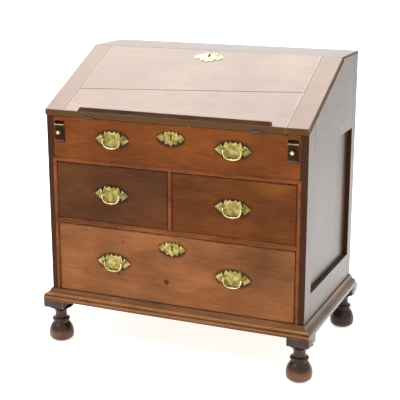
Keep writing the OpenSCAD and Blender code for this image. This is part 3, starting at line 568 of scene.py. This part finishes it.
# The back feet get a darker copy of the feet's finish, which paints them in shade.
oak("shaded_back_foot", (40, 28, 21), (22, 16, 12), grain="z", shift=(0.2, 0.9, 0.1), wear=0.4,
    wear_radius=4, shine=0.3, rough=(0.2, 0.3), lines=[level_line(6, 12, 0.7, tone(106, 80, 50))])
oak("loper", (52, 26, 14), (28, 15, 10), grain="z", wear=0.8,
    lines=[level_line(LOPER_FOOT + 56, 2.4, 0.9, LOPER_PAINTED_HIGHLIGHT),
           level_line(LOPER_FOOT + 4.8, 1.6, 0.2, LOPER_PAINTED_HIGHLIGHT)])
oak("inner", (132, 88, 52), (92, 56, 32), shift=(0.1, 0.7, 0.3), grime_and_shade=0.7)
oak("inner_upright", (132, 88, 52), (92, 56, 32), grain="y", shift=(0.1, 0.7, 0.3), grime_and_shade=0.7)
oak("raw", (156, 118, 80), (122, 86, 54), shift=(0.8, 0.2, 0.6), rough=(0.6, 0.75), wear=0.1,
    pores=0.4)
oak("back", (108, 80, 56), (70, 48, 34), grain="z", shift=(0.8, 0.2, 0.6), rough=(0.62, 0.8),
    wear=0.25, pores=0.5)
print("oak finishes:", len(OAK))

# %% [markdown]
# ## Aged brass and iron
# The handles are cast brass that was lacquered long ago: yellow where it is rubbed, olive
# and brown where it is not. Metallic is 1 all over, and the tarnish is in the base colour
# and the roughness, as on real metal. The fall's plate has a paler copy of the brass, which
# paints the glare of the light on it. Iron is used for the hinges, the lock bolts and the
# nails, with a brown bloom of rust. Lock shadow is painted shade: a near-black metal sheet
# behind a keyhole.

# %% Metal materials
def metal(name, bright, dull, tarnish, rough=(0.22, 0.5), wear=0.8, grime_and_shade=0.8, edge=None):
    """A metal finish; edge is the tone of rubbed edges, or bright where it isn't given."""
    material, tree, shader = new_material(name)
    where = object_place(tree)
    clouds = noise(tree, where, 60.0, 4.0, 0.6)
    specks = noise(tree, where, 600.0, 3.0, 0.6)
    color = blend(tree, ramp(tree, clouds, 0.35, 0.65), bright, dull)
    color = blend(tree, ramp(tree, specks, 0.55, 0.7, 0.0, 0.6), color, tarnish)
    grime_and_shade_mask = use_group(tree, GRIME_AND_SHADE, Distance=4 * MM, Amount=grime_and_shade)
    color = blend(tree, grime_and_shade_mask["Mask"], color, tarnish)
    rubbed = use_group(tree, WEAR, Radius=0.8 * MM, Amount=wear)
    color = blend(tree, rubbed["Mask"], color, edge or bright)
    bump = add(tree, "Bump", Strength=0.2, Distance=0.15 * MM, Height=clouds)
    fill(tree, shader, {
        "Base Color": color,
        "Roughness": ramp(tree, clouds, 0.3, 0.7, rough[0], rough[1]),
        "Normal": bump.outputs[0],
        "Metallic": 1.0,
    })
    return material


BRASS = metal("aged_brass", tone(166, 150, 92), tone(120, 106, 52), tone(36, 30, 14),
              wear=1.0, grime_and_shade=1.0, edge=tone(232, 222, 176))
# A paler copy of the brass for the fall's plate, which paints the glare of the light on it.
PAINTED_GLARE_BRASS = metal("painted_glare_brass", tone(176, 168, 142), tone(140, 132, 106), tone(60, 54, 38),
                   edge=tone(246, 242, 226))
BAIL_BRASS = metal("rubbed_brass", tone(244, 230, 170), tone(206, 190, 120),
                   tone(96, 84, 44), rough=(0.16, 0.3), grime_and_shade=0.4, edge=tone(252, 244, 206))
KNOB_BRASS = metal("knob_brass", tone(232, 206, 172), tone(196, 162, 124),
                   tone(90, 66, 44), rough=(0.16, 0.3), grime_and_shade=0.5)
IRON = metal("old_iron", tone(96, 88, 82), tone(62, 54, 48), tone(72, 42, 26),
             rough=(0.45, 0.7), wear=0.5)
# A near-black sheet of painted shade behind each keyhole.
KEYHOLE_PAINTED_SHADE = metal("lock_shadow", tone(20, 17, 14), tone(10, 8, 7), tone(6, 5, 4),
                  rough=(0.7, 0.9), wear=0.0)
LOCK_BRASS = metal("lock_brass", tone(190, 160, 96), tone(140, 114, 64), tone(70, 54, 30),
                   rough=(0.35, 0.6))
print("materials so far:", len(bpy.data.materials))

# %% [markdown]
# ## Boards with eased edges
# A plain board has edges as sharp as paper, which no old board has. Each board is a copy of
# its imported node: the copy's triangles are merged and its flat sides dissolved to one face
# each, then its long edges are bevelled. The bevel is real geometry, so it catches a thin
# highlight from every side. Short edges, as round a mortise, and the inner corners of a
# board are left sharp, so that what fits there still fits.

# %% Eased boards
LONG_EDGE = 22 * MM  # shorter edges stay sharp
WIDE = 6 * MM  # wider faces are shaded flat


def clean_copy(node):
    """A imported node's mesh with its triangles merged into flat faces."""
    bm = bmesh.new()
    bm.from_mesh(frame["nodes"][node].data)
    weld(bm)
    bmesh.ops.dissolve_limit(bm, angle_limit=math.radians(1.0), use_dissolve_boundaries=False,
                             verts=bm.verts, edges=bm.edges)
    return bm


def bevel(bm, edges, size, segments=2, clamp=False):
    bmesh.ops.bevel(bm, geom=edges, offset=size, offset_type="OFFSET", segments=segments,
                    profile=0.5, affect="EDGES", clamp_overlap=clamp, material=-1)


def ease_edges(bm, size, shortest=LONG_EDGE, sharpest=30.0):
    """Rounds off the long outer edges whose faces turn by more than an angle in degrees."""
    sharp = [e for e in bm.edges if e.is_manifold and e.is_convex
             and e.calc_length() > shortest and e.calc_face_angle() > math.radians(sharpest)]
    bevel(bm, sharp, size)


def brick(width, depth, height):
    bm = bmesh.new()
    bmesh.ops.create_cube(bm, size=1.0)
    bmesh.ops.scale(bm, vec=(width, depth, height), verts=bm.verts)
    return bm


def eased_board(node, finish, size):
    """A board with its edges rounded off by a size in millimetres."""
    bm = clean_copy(node)
    ease_edges(bm, size * MM)
    stand_in("eased", bm, OAK[finish], node, flat_over=WIDE)


# Finish, slot, rounding of the edges in millimetres, and the boards that share them
BOARDS = [
    ("stile", "case_oak", 1.2, ["left_front_stile", "right_front_stile", "back_stiles"]),
    ("side_rail", "case_oak", 0.8,
     ["side_lower_rails", "left_upper_board", "right_upper_board"]),
    ("panel", "case_oak", 0.5, ["side_panels"]),
    ("top", "case_oak", 1.4, ["top_board"]),
    ("back", "raw_oak", 1.5, ["back_boards"]),
    ("raw", "raw_oak", 0.8, ["bottom_board"]),
    ("inner", "inner_oak", 0.8, ["writing_board"]),
    ("bead", "front_oak", 0.5, ["upper_dustboard", "middle_dustboard", "drawer_divider"]),
    ("raw", "raw_oak", 0.5, ["drawer_guides", "loper_guides"]),
    ("inner", "inner_oak", 0.8, ["gallery_shelves"]),
    ("inner_upright", "inner_oak", 0.8, ["gallery_partitions"]),
    ("inner", "inner_oak", 1.0, ["well_cover"]),
    ("left_drawer", "front_oak", 1.0, ["left_drawer_front"]),
    ("right_drawer", "front_oak", 1.0, ["right_drawer_front"]),
    ("long_drawer", "front_oak", 1.0, ["long_drawer_front"]),
    ("raw", "raw_oak", 0.8, ["left_drawer_box", "right_drawer_box", "long_drawer_box"]),
]
for finish, slot, size, nodes in BOARDS:
    for node in nodes:
        eased_board(node, finish, size)
# The beads are already round
stand_in("smooth", clean_copy("opening_beads"), OAK["bead"], "opening_beads")
eased_board("base_moulding_front", "moulding", 0.7)
eased_board("side_base_mouldings", "side_moulding", 0.7)

# %% [markdown]
# ## Boards that have parted
# The fall is two boards glued along a skew joint, and the frieze has split near its right
# handle. A cut is two bisecting planes a hair apart: one copy keeps what lies on one side,
# a second copy keeps the other, and the cut ends are filled. The gap is real, so it is dark
# at any angle.

# %% Parting a board
def everything(bm):
    return list(bm.verts) + list(bm.edges) + list(bm.faces)


def kept_side(node, point, normal):
    """The part of a board that lies on the side of a plane that the normal points to."""
    bm = clean_copy(node)
    cut = bmesh.ops.bisect_plane(bm, geom=everything(bm), plane_co=point, plane_no=normal,
                                 clear_inner=True)
    edges = [item for item in cut["geom_cut"] if isinstance(item, bmesh.types.BMEdge)]
    bmesh.ops.holes_fill(bm, edges=edges, sides=0)
    return bm


def parted_board(node, finish, point, along, face_normal, gap, size):
    """A board cut in two along a line that lies in its face."""
    across = Vector(along).cross(face_normal).normalized()
    whole = bmesh.new()
    for side in (-1, 1):
        half = kept_side(node, Vector(point) + across * side * gap / 2, across * side)
        ease_edges(half, size * MM)
        join(whole, half)
    stand_in("parted", whole, OAK[finish], node, flat_over=WIDE)


JOINT_LEFT = on_slope(-CLEAT_X, 131 * MM, FALL_T)
JOINT_RIGHT = on_slope(CLEAT_X, 188 * MM, FALL_T)
parted_board("fall_board", "fall", JOINT_LEFT, JOINT_RIGHT - JOINT_LEFT,
             OUT_SLOPE, gap=0.8 * MM, size=0.9)
SPLIT_X = 269 * MM
parted_board("frieze_board", "frieze", (SPLIT_X, FRONT_Y, WRITE_Z), (0, 0, 1),
             Vector((0, -1, 0)), gap=0.5 * MM, size=0.8)
eased_board("fall_cleats", "cleat", 0.9)

# %% [markdown]
# ## The book rest
# A moulded strip is planted on the fall to hold a book. Its section is a small quarter
# round over a square, and its left end has lost a chip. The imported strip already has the
# section, so the copy is only eased, and a slanting plane takes the chip off.

# %% Book rest
CHIP_LENGTH = 14 * MM
AWAY_FROM_CHIP = Vector((0.75, 0.2, -0.6))
rest_low, rest_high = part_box("book_rest")
chip_point = Vector((rest_low.x + CHIP_LENGTH, rest_low.y, rest_high.z))
bm = kept_side("book_rest", chip_point, AWAY_FROM_CHIP)
ease_edges(bm, 0.5 * MM)
stand_in("worn", bm, OAK["book_rest"], "book_rest")

# %% [markdown]
# ## Lopers
# The two lopers slide out to carry the open fall. Each is a plain bar behind a dark moulded
# block, with a bead across its top and one across its foot. The block and its bar are one
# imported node, so the copy is eased as one piece.

# %% Lopers and their knobs
for node in ("left_loper", "right_loper"):
    bm = clean_copy(node)
    ease_edges(bm, 0.6 * MM)
    stand_in("moulded", bm, OAK["loper"], node)


def turned(profile, steps, axis, center):
    """Spins a profile of (radius, distance along the axis) pairs round an axis."""
    bm = bmesh.new()
    axis = Vector(axis).normalized()
    aside = axis.orthogonal().normalized()
    verts = [bm.verts.new(aside * radius + axis * along) for radius, along in profile]
    edges = [bm.edges.new(pair) for pair in zip(verts, verts[1:])]
    bmesh.ops.spin(bm, geom=verts + edges, cent=(0, 0, 0), axis=axis,
                   angle=2 * math.pi, steps=steps, use_merge=True)
    weld(bm)
    move(bm, center)
    return bm


def arc(center_r, center_z, radius, start, end, steps):
    """Points of a round stretch of a profile; angles in degrees, 0 towards larger radius."""
    points = []
    for step in range(steps + 1):
        angle = math.radians(start + (end - start) * step / steps)
        points.append((center_r + radius * math.cos(angle), center_z + radius * math.sin(angle)))
    return points


def metres(outline):
    """An outline in metres, from millimetres, with no radius below zero."""
    return [(max(radius, 0.0) * MM, along * MM) for radius, along in outline]


def loper_knob_profile():
    """Base disc, slim neck and a mushroom head, in metres out from the block."""
    head = arc(0.0, 7.2, 7.5, -18, 25, 6) + arc(0.0, 4.0, 7.9, 38, 90, 6)
    return metres([(0.0, 0.0), (5.2, 0.0), (5.4, 0.6), (4.6, 1.3), (3.2, 2.0), (3.0, 3.4),
                   (4.6, 4.3)] + head)


for node in ("left_loper_knob", "right_loper_knob"):
    knob_low, knob_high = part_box(node)
    middle = (knob_low + knob_high) / 2
    bm = turned(loper_knob_profile(), 28, (0, -1, 0), (middle.x, knob_high.y, middle.z))
    stand_in("turned", bm, KNOB_BRASS, node)

# %% [markdown]
# ## Turned feet
# Each foot is turned from a square block: a scotia runs down from the block to a narrow
# neck, a collar and a small fillet follow, and a pear-shaped bulb stands on the floor. The
# profile is one line spun round the foot's axis. The block stays square, with the lower
# edges chamfered, and its outer faces lie in the plane of the base moulding's edge.

# %% Feet
# Sizes in millimetres; block_foot is the height of the block's underside
FOOT = {"height": 148, "block": 72, "block_foot": 121, "inset": 17}
FOOT_X = CASE_X - FOOT["inset"] * MM
FOOT_SHIFT = high("side_base_mouldings").x - FOOT["block"] / 2 * MM - FOOT_X


def bow(radius, center_z, z):
    """How far an arc of a circle stands out from its centre at a height."""
    return math.sqrt(radius ** 2 - (z - center_z) ** 2)


def foot_profile():
    """Radius and height of the foot's outline, from the floor to the block."""
    belly = [
        (min(-13.6 + bow(55.6, 24, z), bow(53, 45, z)), z)
        for z in [0.4, 1.5, 3, 5, 8, 11, 14, 18, 22, 26, 30, 35, 40, 45, 50, 55, 59, 62]
    ]
    fillet = arc(24.5, 65.7, 2.7, -70, 75, 6)
    collar = arc(24.5, 74.0, 5.5, -60, 85, 12)
    scotia = [(47.5 - bow(28, 92, z), z)
              for z in [80.5, 82, 85, 88, 92, 96, 100, 104, 108, 112, 115, 117.5, 119.4]]
    return metres([(0, 0), (26.5, 0)] + belly + fillet + collar + scotia
                  + [(0, FOOT["block_foot"])])


def foot(axis_x, axis_y):
    """A turned foot with its block, which is shifted outwards from the axis."""
    bm = turned(foot_profile(), 56, (0, 0, 1), (axis_x, axis_y, 0))
    width = FOOT["block"] * MM
    height = (FOOT["height"] - FOOT["block_foot"]) * MM
    block = brick(width, width, height)
    place = Vector((axis_x + math.copysign(FOOT_SHIFT, axis_x),
                    axis_y + math.copysign(FOOT_SHIFT, axis_y),
                    FOOT["block_foot"] * MM + height / 2))
    move(block, place)
    lower = [e for e in block.edges if all(v.co.z < place.z for v in e.verts)]
    bevel(block, lower, 3 * MM, segments=3)
    ease_edges(block, 0.7 * MM, 20 * MM, 60.0)
    join(bm, block)
    return bm


for node, y, finish in (("front_feet", FRONT_Y + FOOT["inset"] * MM, "foot"),
                        ("back_feet", BACK_Y - FOOT["inset"] * MM, "shaded_back_foot")):
    pair = bmesh.new()
    for side in (-1, 1):
        join(pair, foot(side * FOOT_X, y))
    stand_in("turned", pair, OAK[finish], node)

# %% [markdown]
# ## Cast and engraved plates
# The backplates and escutcheons share one spiked outline. Half of it is drawn from the
# middle of the top edge round the pointed end to the spike below, then mirrored, which
# keeps both halves the same. Where a plate has a keyhole, the inner edge of the half steps
# round it, so the hole is there from the start and needs no boolean. The face gets a raised
# rim by insetting it, and the edges are bevelled so that they glint.

# %% Plate blanks
HALF_OUTLINE = [
    (0, 21), (10, 26.5), (15.5, 19.5), (24, 26), (29, 14), (31, 5), (37.5, 17),
    (59, 0), (37.5, -17), (31, -5), (29, -14), (22, -27), (14, -22), (5, -26), (0, -36),
]
PLATE_T = 1.6 * MM
RIM_DEPTH = 0.35 * MM


def slot_keyhole(center_z):
    """Half of a keyhole with a round head and a straight slot below, read upwards."""
    head = [(x, center_z + z) for x, z in arc(0, 0, 3.2, -46, 90, 8)]
    return [(0, center_z - 13), (2.2, center_z - 13)] + head


def drop_keyhole(center_z):
    """Half of a drop: round below, narrowing upwards."""
    foot = [(x, center_z + z) for x, z in arc(0, 0, 4.4, -90, 0, 6)]
    return foot + [(1.2, center_z + 16), (0, center_z + 16)]


def plate_blank(size, keyhole=()):
    """A plate in the XZ plane, facing -Y, with its back at y = 0."""
    bm = bmesh.new()
    outline = [(x * size, z * size) for x, z in HALF_OUTLINE] + list(keyhole)
    verts = [bm.verts.new((x * MM, 0, z * MM)) for x, z in outline]
    bm.faces.new(verts)
    bmesh.ops.mirror(bm, geom=everything(bm), axis="X", merge_dist=WELD)
    weld(bm)
    bmesh.ops.recalc_face_normals(bm, faces=bm.faces)
    sides = bmesh.ops.extrude_face_region(bm, geom=list(bm.faces))
    moved = [item for item in sides["geom"] if isinstance(item, bmesh.types.BMVert)]
    bmesh.ops.translate(bm, verts=moved, vec=(0, -PLATE_T, 0))
    bmesh.ops.recalc_face_normals(bm, faces=bm.faces)
    face = [f for f in bm.faces if f.normal.y < -0.9]
    bmesh.ops.inset_region(bm, faces=face, thickness=1.0 * MM, depth=-RIM_DEPTH,
                           use_boundary=True, use_even_offset=True)
    rim = [e for e in bm.edges if e.is_manifold and e.calc_face_angle() > math.radians(60)
           and all(v.co.y < -PLATE_T / 2 for v in e.verts)]
    bevel(bm, rim, RIM_DEPTH, clamp=True)
    return bm


def dome(radius, rise, center, steps=28):
    """A shallow boss that faces -Y."""
    profile = [(radius * math.cos(math.radians(a)), rise * math.sin(math.radians(a)))
               for a in range(0, 91, 9)]
    profile = [(max(r, 0.0), h) for r, h in profile]
    return turned(profile, steps, (0, -1, 0), center)


def ornament(bm, size, boss=True):
    """Boss, rivets and pearls that stand on a plate's face."""
    face_y = -PLATE_T + RIM_DEPTH
    if boss:
        join(bm, dome(15.5 * size * MM, 1.3 * MM, (0, face_y, 0)))
        join(bm, dome(9.0 * size * MM, 2.1 * MM, (0, face_y, 0)))
    for side in (-1, 1):
        join(bm, dome(2.2 * size * MM, 1.0 * MM, (side * 45 * size * MM, face_y, 0), 14))
        for x, z in ((19, 18), (19, -19), (26, 0)):
            join(bm, dome(1.7 * size * MM, 0.7 * MM,
                          (side * x * size * MM, face_y, z * size * MM), 12))


# %% [markdown]
# ## Posts and bails
# Two turned posts stand on each backplate and take the ends of the bail, the swinging bar
# that a hand pulls. A bail is thicker in the middle, where it is held, and has a small
# bead there. It is made as a row of rings along a curve, each ring bridged to the next, so
# the thickness can change along the way.

# %% Post and bail makers
POST_X = 36 * MM  # from the middle of a plate to each post
BAIL_OUT = 11 * MM  # from the plate's seat to the bail's axis
ARM_X = 29.2 * MM  # from the middle of a bail to each arm
PIN_R = 1.5 * MM
PIN_INTO_POST = 0.8 * MM


def post_profile():
    """Base, slim neck and ball of a post, in metres out from the plate."""
    ball = arc(0, 11, 4.2, -55, 90, 12)
    return metres([(0, 0), (5.6, 0), (5.6, 0.9), (4.4, 1.6), (3.0, 2.6), (2.5, 4.0),
                   (2.6, 5.8), (3.4, 6.4), (3.4, 7.0)] + ball)


def bail_path(steps, drop):
    """Half-loop from the left arm down, across and up to the right arm."""
    points = []
    for step in range(steps + 1):
        angle = math.pi * step / steps
        x = -math.copysign(abs(math.cos(angle)) ** 0.72, math.cos(angle)) * ARM_X
        z = -math.sin(angle) ** 0.72 * drop
        points.append(Vector((x, 0, z)))
    return points


def bail_radius(share):
    """Thickness along the bail: slim arms, a full middle and a bead at its centre."""
    swell = math.sin(math.pi * share)
    bead = math.exp(-((share - 0.5) / 0.018) ** 2)
    return (1.4 + 0.55 * swell + 1.0 * bead) * MM


def bail(center, drop):
    """A bail that hangs from its axis, with its pins and the balls on its arms."""
    bm = bmesh.new()
    steps = 72
    path = bail_path(steps, drop)
    rings = []
    for index, point in enumerate(path):
        before = path[max(index - 1, 0)]
        after = path[min(index + 1, steps)]
        ahead = (after - before).normalized()
        turn = Vector((0, 0, 1)).rotation_difference(ahead).to_matrix().to_4x4()
        ring = bmesh.ops.create_circle(
            bm, cap_ends=False, segments=14, radius=bail_radius(index / steps),
            matrix=Matrix.Translation(point) @ turn)
        rings.append(ring["verts"])
    loops = [[e for e in bm.edges if e.verts[0] in ring and e.verts[1] in ring]
             for ring in map(set, rings)]
    for first, second in zip(loops, loops[1:]):
        bmesh.ops.bridge_loops(bm, edges=first + second)
    for loop in (loops[0], loops[-1]):
        bmesh.ops.holes_fill(bm, edges=loop, sides=0)
    for side in (-1, 1):
        pin = bmesh.new()
        bmesh.ops.create_cone(pin, cap_ends=True, segments=16, radius1=PIN_R,
                              radius2=PIN_R, depth=POST_X - ARM_X + PIN_INTO_POST)
        turn = Matrix.Rotation(math.pi / 2, 4, "Y")
        middle = Matrix.Translation((side * (POST_X + ARM_X - PIN_INTO_POST) / 2, 0, 0))
        bmesh.ops.transform(pin, verts=pin.verts, matrix=middle @ turn)
        join(bm, pin)
        join(bm, turned([(0, -2.3 * MM), (1.4 * MM, -1.9 * MM), (2.2 * MM, -0.8 * MM),
                         (2.3 * MM, 0), (2.2 * MM, 0.8 * MM), (1.4 * MM, 1.9 * MM),
                         (0, 2.3 * MM)], 16, (1, 0, 0), (side * ARM_X, 0, 0)))
    move(bm, center)
    return bm


# %% [markdown]
# ## Fitting the handles
# Each bail hangs from its hinge in the frame and rides on its own body. Its plate is seated
# behind it, so plate, posts and bail share one axis.

# %% Fit the handles
BAIL_MARGIN = 2.4 * MM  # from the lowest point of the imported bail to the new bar's middle
for node in ("frieze_bail_left", "frieze_bail_right", "left_drawer_bail",
             "right_drawer_bail", "long_drawer_bail_left", "long_drawer_bail_right"):
    pivot = HINGE_OF[BODY_OF[node]]
    drop = pivot.z - low(node).z - BAIL_MARGIN
    stand_in("cast", bail(pivot, drop), BAIL_BRASS, node)


def backplate(pivot):
    """A plate with its two posts, placed so that the posts meet a bail's axis."""
    bm = plate_blank(1.0)
    ornament(bm, 1.0)
    for side in (-1, 1):
        join(bm, turned(post_profile(), 24, (0, -1, 0), (side * POST_X, 0, 0)))
    move(bm, (pivot.x, pivot.y + BAIL_OUT, pivot.z))
    return bm


PLATE_NODES = {
    "frieze_backplates": ["bail_frieze_left", "bail_frieze_right"],
    "left_drawer_backplate": ["bail_drawer_left"],
    "right_drawer_backplate": ["bail_drawer_right"],
    "long_drawer_backplates": ["bail_long_left", "bail_long_right"],
}
for node, hinges in PLATE_NODES.items():
    plates = bmesh.new()
    for hinge in hinges:
        join(plates, backplate(HINGE_OF[hinge]))
    stand_in("cast", plates, BRASS, node)

# %% [markdown]
# ## Fitting the escutcheons
# The smaller plates have keyholes. A thin dark piece behind each paints the shade inside the
# keyhole, and the plate of the fall is tilted to lie on the slope.

# %% Fit the escutcheons
def escutcheon(node, material, size, keyhole, seat, tilt):
    """A small plate with a keyhole, and a dark sheet behind it that paints the shade inside."""
    place = Matrix.Translation(seat) @ tilt
    dark = brick(10 * size * MM, 0.2 * MM, 27 * size * MM)
    ease_edges(dark, 0.05 * MM, 0.0)
    move(dark, (0, -0.25 * MM, 0))
    bmesh.ops.transform(dark, verts=dark.verts, matrix=place)
    finish_piece(f"painted_shade_behind_{node}", dark, KEYHOLE_PAINTED_SHADE, BODY_OF[node])
    bm = plate_blank(size, keyhole)
    ornament(bm, size, boss=False)
    bmesh.ops.transform(bm, verts=bm.verts, matrix=place)
    stand_in("cast", bm, material, node)


SMALL = 0.8
FALL_SIZE = 0.93
SPIKE = -HALF_OUTLINE[-1][1]
for node in ("frieze_escutcheon", "long_drawer_escutcheon"):
    corner_low, corner_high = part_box(node)
    seat = Vector(((corner_low.x + corner_high.x) / 2, corner_high.y,
                   corner_low.z + SPIKE * SMALL * MM))
    escutcheon(node, BRASS, SMALL, slot_keyhole(6.0), seat, Matrix.Identity(4))

FALL_PLATE_DROP = 48.4 * MM  # from the fall's upper edge to the middle of its plate
fall_len = (high("fall_cleats") - SLOPE_ORIGIN).dot(UP_SLOPE)
seat = on_slope(0, fall_len - FALL_PLATE_DROP, FALL_T)
tilt = Matrix(((1, 0, 0), (0, -OUT_SLOPE.y, UP_SLOPE.y),
               (0, -OUT_SLOPE.z, UP_SLOPE.z))).to_4x4()
escutcheon("fall_escutcheon", PAINTED_GLARE_BRASS, FALL_SIZE, drop_keyhole(4.4), seat, tilt)

# %% [markdown]
# ## Hinges, locks and the small drawers
# The hinges and locks already have their true shape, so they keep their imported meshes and
# only get a finish in their material slots. The small drawers behind the fall are eased
# like the other boards.

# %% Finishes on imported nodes
def finish_node(node, material):
    """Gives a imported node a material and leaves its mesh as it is."""
    mesh = frame["nodes"][node].data
    mesh.materials.clear()
    mesh.materials.append(material)


for node in ("hinge_lower_leaves", "hinge_upper_leaves", "fall_lock_bolt", "long_drawer_bolt"):
    finish_node(node, IRON)
for node in ("fall_lock", "long_drawer_lock"):
    finish_node(node, LOCK_BRASS)
for node in ("left_small_drawer", "middle_small_drawer", "right_small_drawer"):
    eased_board(node, "inner", 0.7)

# %% [markdown]
# ## Nails in the back
# The back boards are nailed to the case. A nail head is a low faceted dome, and a loop sets
# them in even rows and columns across the boards.

# %% Back nails
board_low, board_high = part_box("back_boards")
ROWS = 6
COLUMNS = 8
LOWEST_ROW = 60 * MM
ROWS_SHORT = 100 * MM  # the boards' height less the height that the rows span
NAIL_PROFILE = [(3.4 * MM, -1.0 * MM), (3.3 * MM, -0.5 * MM), (2.0 * MM, -0.15 * MM),
                (0, -0.05 * MM)]
bm = bmesh.new()
for column in range(COLUMNS):
    for row in range(ROWS):
        x = board_low.x + (board_high.x - board_low.x) * (column + 0.5) / COLUMNS
        z = (board_low.z + LOWEST_ROW
             + (board_high.z - board_low.z - ROWS_SHORT) * row / (ROWS - 1))
        join(bm, turned(NAIL_PROFILE, 9, (0, 1, 0), (x, BACK_Y, z)))
finish_piece("back_nails", bm, IRON, "case")

# %% [markdown]
# ## The floor
# The studio is a plain pale floor. It glows a little, so that it stays white beside the dark
# desk and lights the sides of the feet from below.

# %% Floor
bm = bmesh.new()
bmesh.ops.create_grid(bm, x_segments=1, y_segments=1, size=14.0)
move(bm, (0, 6.0, -0.5 * MM))
floor_mesh = to_mesh("studio_floor", bm)
WHITE = (1.0, 1.0, 1.0, 1.0)
floor_material, tree, shader = new_material("studio_paper")
paper = noise(tree, object_place(tree), 0.8, 2.0)
fill(tree, shader, {
    "Base Color": grey(tree, ramp(tree, paper, 0.2, 0.8, 0.86, 0.9)),
    "Roughness": 0.9,
    "Emission Color": WHITE,
    "Emission Strength": 0.7,
    "Specular IOR Level": 0.1,
})
floor_mesh.materials.append(floor_material)
floor = add_object("studio_floor", floor_mesh)
print("floor:", floor.name)

# %% [markdown]
# ## Light
# The sky is white all round. A large soft light hangs above and behind the desk, where the
# sloping fall mirrors it to the camera, so the fall and the top shine while the upright
# front keeps its colour. A small soft light in front, to the left, puts glints on the
# brasses.

# %% Light
world = bpy.data.worlds.new("studio_sky")
world.use_nodes = True
bpy.context.scene.world = world
sky = world.node_tree.nodes["Background"]
fill(world.node_tree, sky, {"Color": WHITE, "Strength": 1.0})


def soft_light(name, target, direction, distance, width, height, watts):
    """A rectangular light at a distance from a target, facing it."""
    light = bpy.data.lights.new(name, "AREA")
    light.shape = "RECTANGLE"
    light.size = width
    light.size_y = height
    light.energy = watts
    lamp = add_object(name, light)
    direction = Vector(direction).normalized()
    lamp.location = Vector(target) + direction * distance
    lamp.rotation_euler = direction.to_track_quat("Z", "Y").to_euler()
    print(f"{name}: {watts} W")


soft_light("overhead_softbox", target=(0, 0, 0.86), direction=(-0.12, 0.34, 0.86),
           distance=3.2, width=3.9, height=4.2, watts=170)
soft_light("key_softbox", target=(0, 0, 0.5), direction=(-0.45, -0.7, 0.7),
           distance=3.4, width=0.6, height=0.6, watts=18)

# %% [markdown]
# ## The camera
# The camera looks from the right and a little above, with a long lens, so that upright
# edges stay nearly upright.

# %% Camera
CAMERA_TARGET = Vector((-0.0077, -0.0186, 0.4747))
CAMERA_AZIMUTH = math.radians(23.1)
CAMERA_RISE = math.radians(15.04)
CAMERA_DISTANCE = 3.4267
CAMERA_LENS = 92.28
toward = Vector((math.sin(CAMERA_AZIMUTH) * math.cos(CAMERA_RISE),
                 -math.cos(CAMERA_AZIMUTH) * math.cos(CAMERA_RISE),
                 math.sin(CAMERA_RISE)))
camera_data = bpy.data.cameras.new("camera")
camera_data.lens = CAMERA_LENS
camera_data.sensor_width = 36.0
camera = add_object("camera", camera_data)
camera.location = CAMERA_TARGET + toward * CAMERA_DISTANCE
camera.rotation_euler = toward.to_track_quat("Z", "Y").to_euler()
bpy.context.scene.camera = camera
bpy.context.scene.view_settings.view_transform = "Standard"
print("camera at", [round(value, 3) for value in camera.location])
